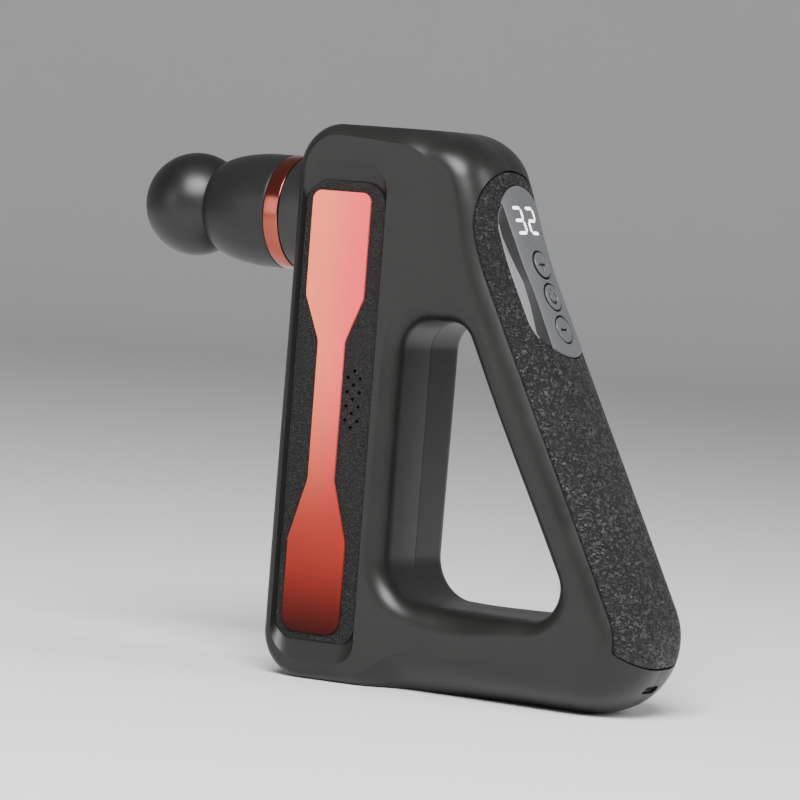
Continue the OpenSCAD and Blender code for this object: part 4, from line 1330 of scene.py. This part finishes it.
def build_ball():
    """The soft ball: a sphere with a flat seat for its stem."""
    h = sizes("gun_head")
    g = bpy.context.scene.gun_finish
    r = h.ball_diameter / 2
    ball_z = h.collar_length + h.ring_width + h.nose_length + 12
    a = np.linspace(0, PI - 0.4, 70)
    arc = np.stack([r * np.sin(a), ball_z + r * np.cos(a)], 1)
    profile = np.concatenate([arc, [[0.0, arc[-1, 1]]]])
    piece = revolve("head_ball_soft", profile, h.axis_height, sides=160)
    finish = moulded("ball_soft", tuple(g.ball), 0.42, grain=0.0005, depth=0.00001, vary=0.1)
    finish_piece(piece, finish, "head", "head_black", "head_ball")


def dress(material, *nodes):
    """Put a material on every slot of CAD nodes that keep their shape."""
    for node in nodes:
        piece = bpy.data.objects.get(node)
        if piece is None:
            raise RuntimeError(f"no node {node}")
        if not piece.data.materials:
            piece.data.materials.append(material)
        for slot in piece.material_slots:
            slot.material = material


def build_drive():
    """Finishes of the head's stem, the piston, the motor and the crank."""
    dress(metal("ground_steel", (0.52, 0.53, 0.55), 0.24, (0.05, 1.0, 1.0)),
          "piston", "wrist_pin", "motor_shaft", "crank_pin")
    dress(metal("bearing_steel", (0.62, 0.63, 0.65), 0.18, (1.0, 0.1, 1.0)), "motor_bearings", "rod_bearing")
    dress(metal("sintered_bronze", (0.52, 0.33, 0.13), 0.38, (1.0, 1.0, 1.0), 0.0004, 0.00002), "guide_bush")
    dress(metal("cast_alloy", (0.36, 0.37, 0.39), 0.48, (1.0, 1.0, 1.0), 0.0009, 0.00003),
          "connecting_rod", "motor_bracket", "crank_disc")
    dress(metal("rotor_zinc", (0.42, 0.43, 0.46), 0.3, (1.0, 0.08, 1.0)), "motor_rotor")
    dress(metal("screw_zinc", (0.5, 0.5, 0.53), 0.32, (1.0, 0.2, 1.0), 0.0003),
          "bracket_screws", "shell_screws")
    dress(laminations("stator_stack", (0.22, 0.225, 0.235)), "motor_stator")
    dress(wound_copper("winding_copper", (0.62, 0.27, 0.10)), "motor_windings")
    dress(moulded("stem_polymer", (0.020, 0.020, 0.021), 0.36), "head_stem")
    dress(moulded("black_rubber", (0.012, 0.012, 0.012), 0.68, 0.0005, 0.00003),
          "damper_grommets", "stem_o_rings")


def build_power():
    """Finishes of the cells, the boards, the display and the charging socket."""
    dress(wrapped_cell("cell_film", (0.045, 0.13, 0.36)), "battery_cells")
    dress(moulded("holder_polymer", (0.022, 0.022, 0.023), 0.5), "battery_holder", "display_module")
    dress(circuit_board("solder_mask", (0.012, 0.085, 0.035)), "main_board", "key_board")
    dress(metal("socket_shell", (0.55, 0.56, 0.58), 0.3, (1.0, 0.3, 1.0)), "charging_socket")


def softbox(name, place, target, width, height, power, spread=math.radians(140)):
    """A rectangular light at a place, aimed at a target."""
    from mathutils import Vector

    data = bpy.data.lights.new(name, "AREA")
    data.shape = "RECTANGLE"
    data.size = width
    data.size_y = height
    data.energy = power
    data.spread = spread
    lamp = bpy.data.objects.new(name, data)
    way = Vector(target) - Vector(place)
    lamp.location = place
    lamp.rotation_euler = way.to_track_quat("-Z", "Y").to_euler()
    bpy.context.scene.collection.objects.link(lamp)


def build_stage():
    """Floor that sweeps up into a round wall, sky, lights and camera.

    The floor is a profile turned round Z: flat, then a quarter circle, then upright.
    """
    from mathutils import Matrix, Vector

    s = bpy.context.scene.gun_studio
    turn = np.linspace(0, PI / 2, 16)
    radius = np.concatenate([np.linspace(0.0, 3.0, 13), 3.0 + 1.2 * np.sin(turn[1:]), [4.2, 4.2]])
    height = np.concatenate([np.zeros(13), 1.2 - 1.2 * np.cos(turn[1:]), [2.0, 3.0]])
    sides = 96
    a = np.linspace(0, 2 * PI, sides, endpoint=False)[:, None]
    level = np.broadcast_to(height, (sides, len(height)))
    points = np.stack([radius * np.cos(a), radius * np.sin(a), level], -1)
    mesh = bpy.data.meshes.new("studio_floor")
    faces = grid_faces(sides, len(height), close_rows=True)
    mesh.from_pydata(points.reshape(-1, 3).tolist(), [], faces.tolist())
    mesh.shade_smooth()
    floor = bpy.data.objects.new("studio_floor", mesh)
    bpy.context.scene.collection.objects.link(floor)
    mesh.materials.append(pale_floor("floor_paper", tuple(s.floor)))

    world = bpy.data.worlds.new("studio_sky")
    world.use_nodes = True
    sky = world.node_tree.nodes["Background"]
    sky.inputs["Color"].default_value = (0.93, 0.95, 1.0, 1.0)
    sky.inputs["Strength"].default_value = s.sky
    bpy.context.scene.world = world

    middle = Vector((-0.040, 0.0, 0.1125))
    softbox("light_above", (0.50, -1.15, 1.45), middle, 1.2, 0.9, 50.0)
    softbox("light_front_left", (-1.05, -1.75, 0.35), middle, 0.9, 1.3, 5.0)
    softbox("light_rear_right", (1.5, 0.35, 0.75), middle, 0.5, 1.1, 10.0)

    a, e, r = s.azimuth, s.elevation, s.roll
    back = Vector((math.sin(a) * math.cos(e), -math.cos(a) * math.cos(e), math.sin(e)))
    flat = Vector((math.cos(a), math.sin(a), 0.0))
    over = back.cross(flat)
    right = flat * math.cos(r) + over * math.sin(r)
    up = over * math.cos(r) - flat * math.sin(r)
    lens = bpy.data.cameras.new("camera")
    lens.lens = s.focal / MM
    lens.sensor_width = s.sensor / MM
    lens.clip_start = 0.05
    camera = bpy.data.objects.new("camera", lens)
    place = middle + back * s.distance
    camera.matrix_world = Matrix((right, up, back)).transposed().to_4x4()
    camera.location = place
    bpy.context.scene.collection.objects.link(camera)
    bpy.context.scene.camera = camera


# ---------------------------------------------------------------------------
# Operators, panel and registration
# ---------------------------------------------------------------------------
class GUN_OT_shells(bpy.types.Operator):
    """Build the two half shells"""

    bl_idname = "gun.shells"
    bl_label = "Half shells"

    def execute(self, context):
        build_shells()
        return {"FINISHED"}


class GUN_OT_side_panels(bpy.types.Operator):
    """Build the lacquered side plates and finish the inlays"""

    bl_idname = "gun.side_panels"
    bl_label = "Side plates and inlays"

    def execute(self, context):
        build_side_panels()
        return {"FINISHED"}


class GUN_OT_grip(bpy.types.Operator):
    """Build the leather grip skin"""

    bl_idname = "gun.grip"
    bl_label = "Leather grip"

    def execute(self, context):
        build_grip()
        return {"FINISHED"}


class GUN_OT_panel(bpy.types.Operator):
    """Build the control panel"""

    bl_idname = "gun.panel"
    bl_label = "Control panel"

    def execute(self, context):
        build_panel()
        return {"FINISHED"}


class GUN_OT_digits(bpy.types.Operator):
    """Build the lit number"""

    bl_idname = "gun.digits"
    bl_label = "Display digits"

    def execute(self, context):
        build_digits()
        return {"FINISHED"}


class GUN_OT_buttons(bpy.types.Operator):
    """Build the three buttons"""

    bl_idname = "gun.buttons"
    bl_label = "Buttons"

    def execute(self, context):
        build_buttons()
        return {"FINISHED"}


class GUN_OT_neck(bpy.types.Operator):
    """Build the collar, the trim ring and the nose"""

    bl_idname = "gun.neck"
    bl_label = "Collar, ring and nose"

    def execute(self, context):
        build_neck()
        return {"FINISHED"}


class GUN_OT_ball(bpy.types.Operator):
    """Build the soft ball"""

    bl_idname = "gun.ball"
    bl_label = "Ball head"

    def execute(self, context):
        build_ball()
        return {"FINISHED"}


class GUN_OT_drive(bpy.types.Operator):
    """Finish the stem, piston, motor and crank"""

    bl_idname = "gun.drive"
    bl_label = "Drive finishes"

    def execute(self, context):
        build_drive()
        return {"FINISHED"}


class GUN_OT_power(bpy.types.Operator):
    """Finish the cells, boards and socket"""

    bl_idname = "gun.power"
    bl_label = "Battery and board finishes"

    def execute(self, context):
        build_power()
        return {"FINISHED"}


class GUN_OT_stage(bpy.types.Operator):
    """Set the floor, the lights and the camera"""

    bl_idname = "gun.stage"
    bl_label = "Studio"

    def execute(self, context):
        build_stage()
        return {"FINISHED"}


OPERATORS = (
    GUN_OT_stage,
    GUN_OT_shells,
    GUN_OT_side_panels,
    GUN_OT_grip,
    GUN_OT_panel,
    GUN_OT_digits,
    GUN_OT_buttons,
    GUN_OT_neck,
    GUN_OT_ball,
    GUN_OT_drive,
    GUN_OT_power,
)


class GUN_PT_sidebar(bpy.types.Panel):
    """Lists the build steps"""

    bl_idname = "GUN_PT_sidebar"
    bl_label = "Massage Gun"
    bl_space_type = "VIEW_3D"
    bl_region_type = "UI"
    bl_category = "Massage Gun"

    def draw(self, context):
        for group, kind in GROUPS:
            box = self.layout.box()
            box.label(text=kind.__doc__.rstrip("."))
            for name in kind.__annotations__:
                box.prop(getattr(context.scene, group), name)
        for operator in OPERATORS:
            self.layout.operator(operator.bl_idname)


CLASSES = (*(kind for _, kind in GROUPS), *OPERATORS, GUN_PT_sidebar)


def register():
    """Register the classes and hang the property groups on the scene."""
    for kind in CLASSES:
        bpy.utils.register_class(kind)
    for name, kind in GROUPS:
        setattr(bpy.types.Scene, name, bpy.props.PointerProperty(type=kind))


def unregister():
    """Undo register."""
    for name, _ in GROUPS:
        delattr(bpy.types.Scene, name)
    for kind in reversed(CLASSES):
        bpy.utils.unregister_class(kind)


def main():
    """Build everything."""
    register()
    for operator in OPERATORS:
        area, name = operator.bl_idname.split(".")
        getattr(getattr(bpy.ops, area), name)()


if __name__ == "__main__":
    main()
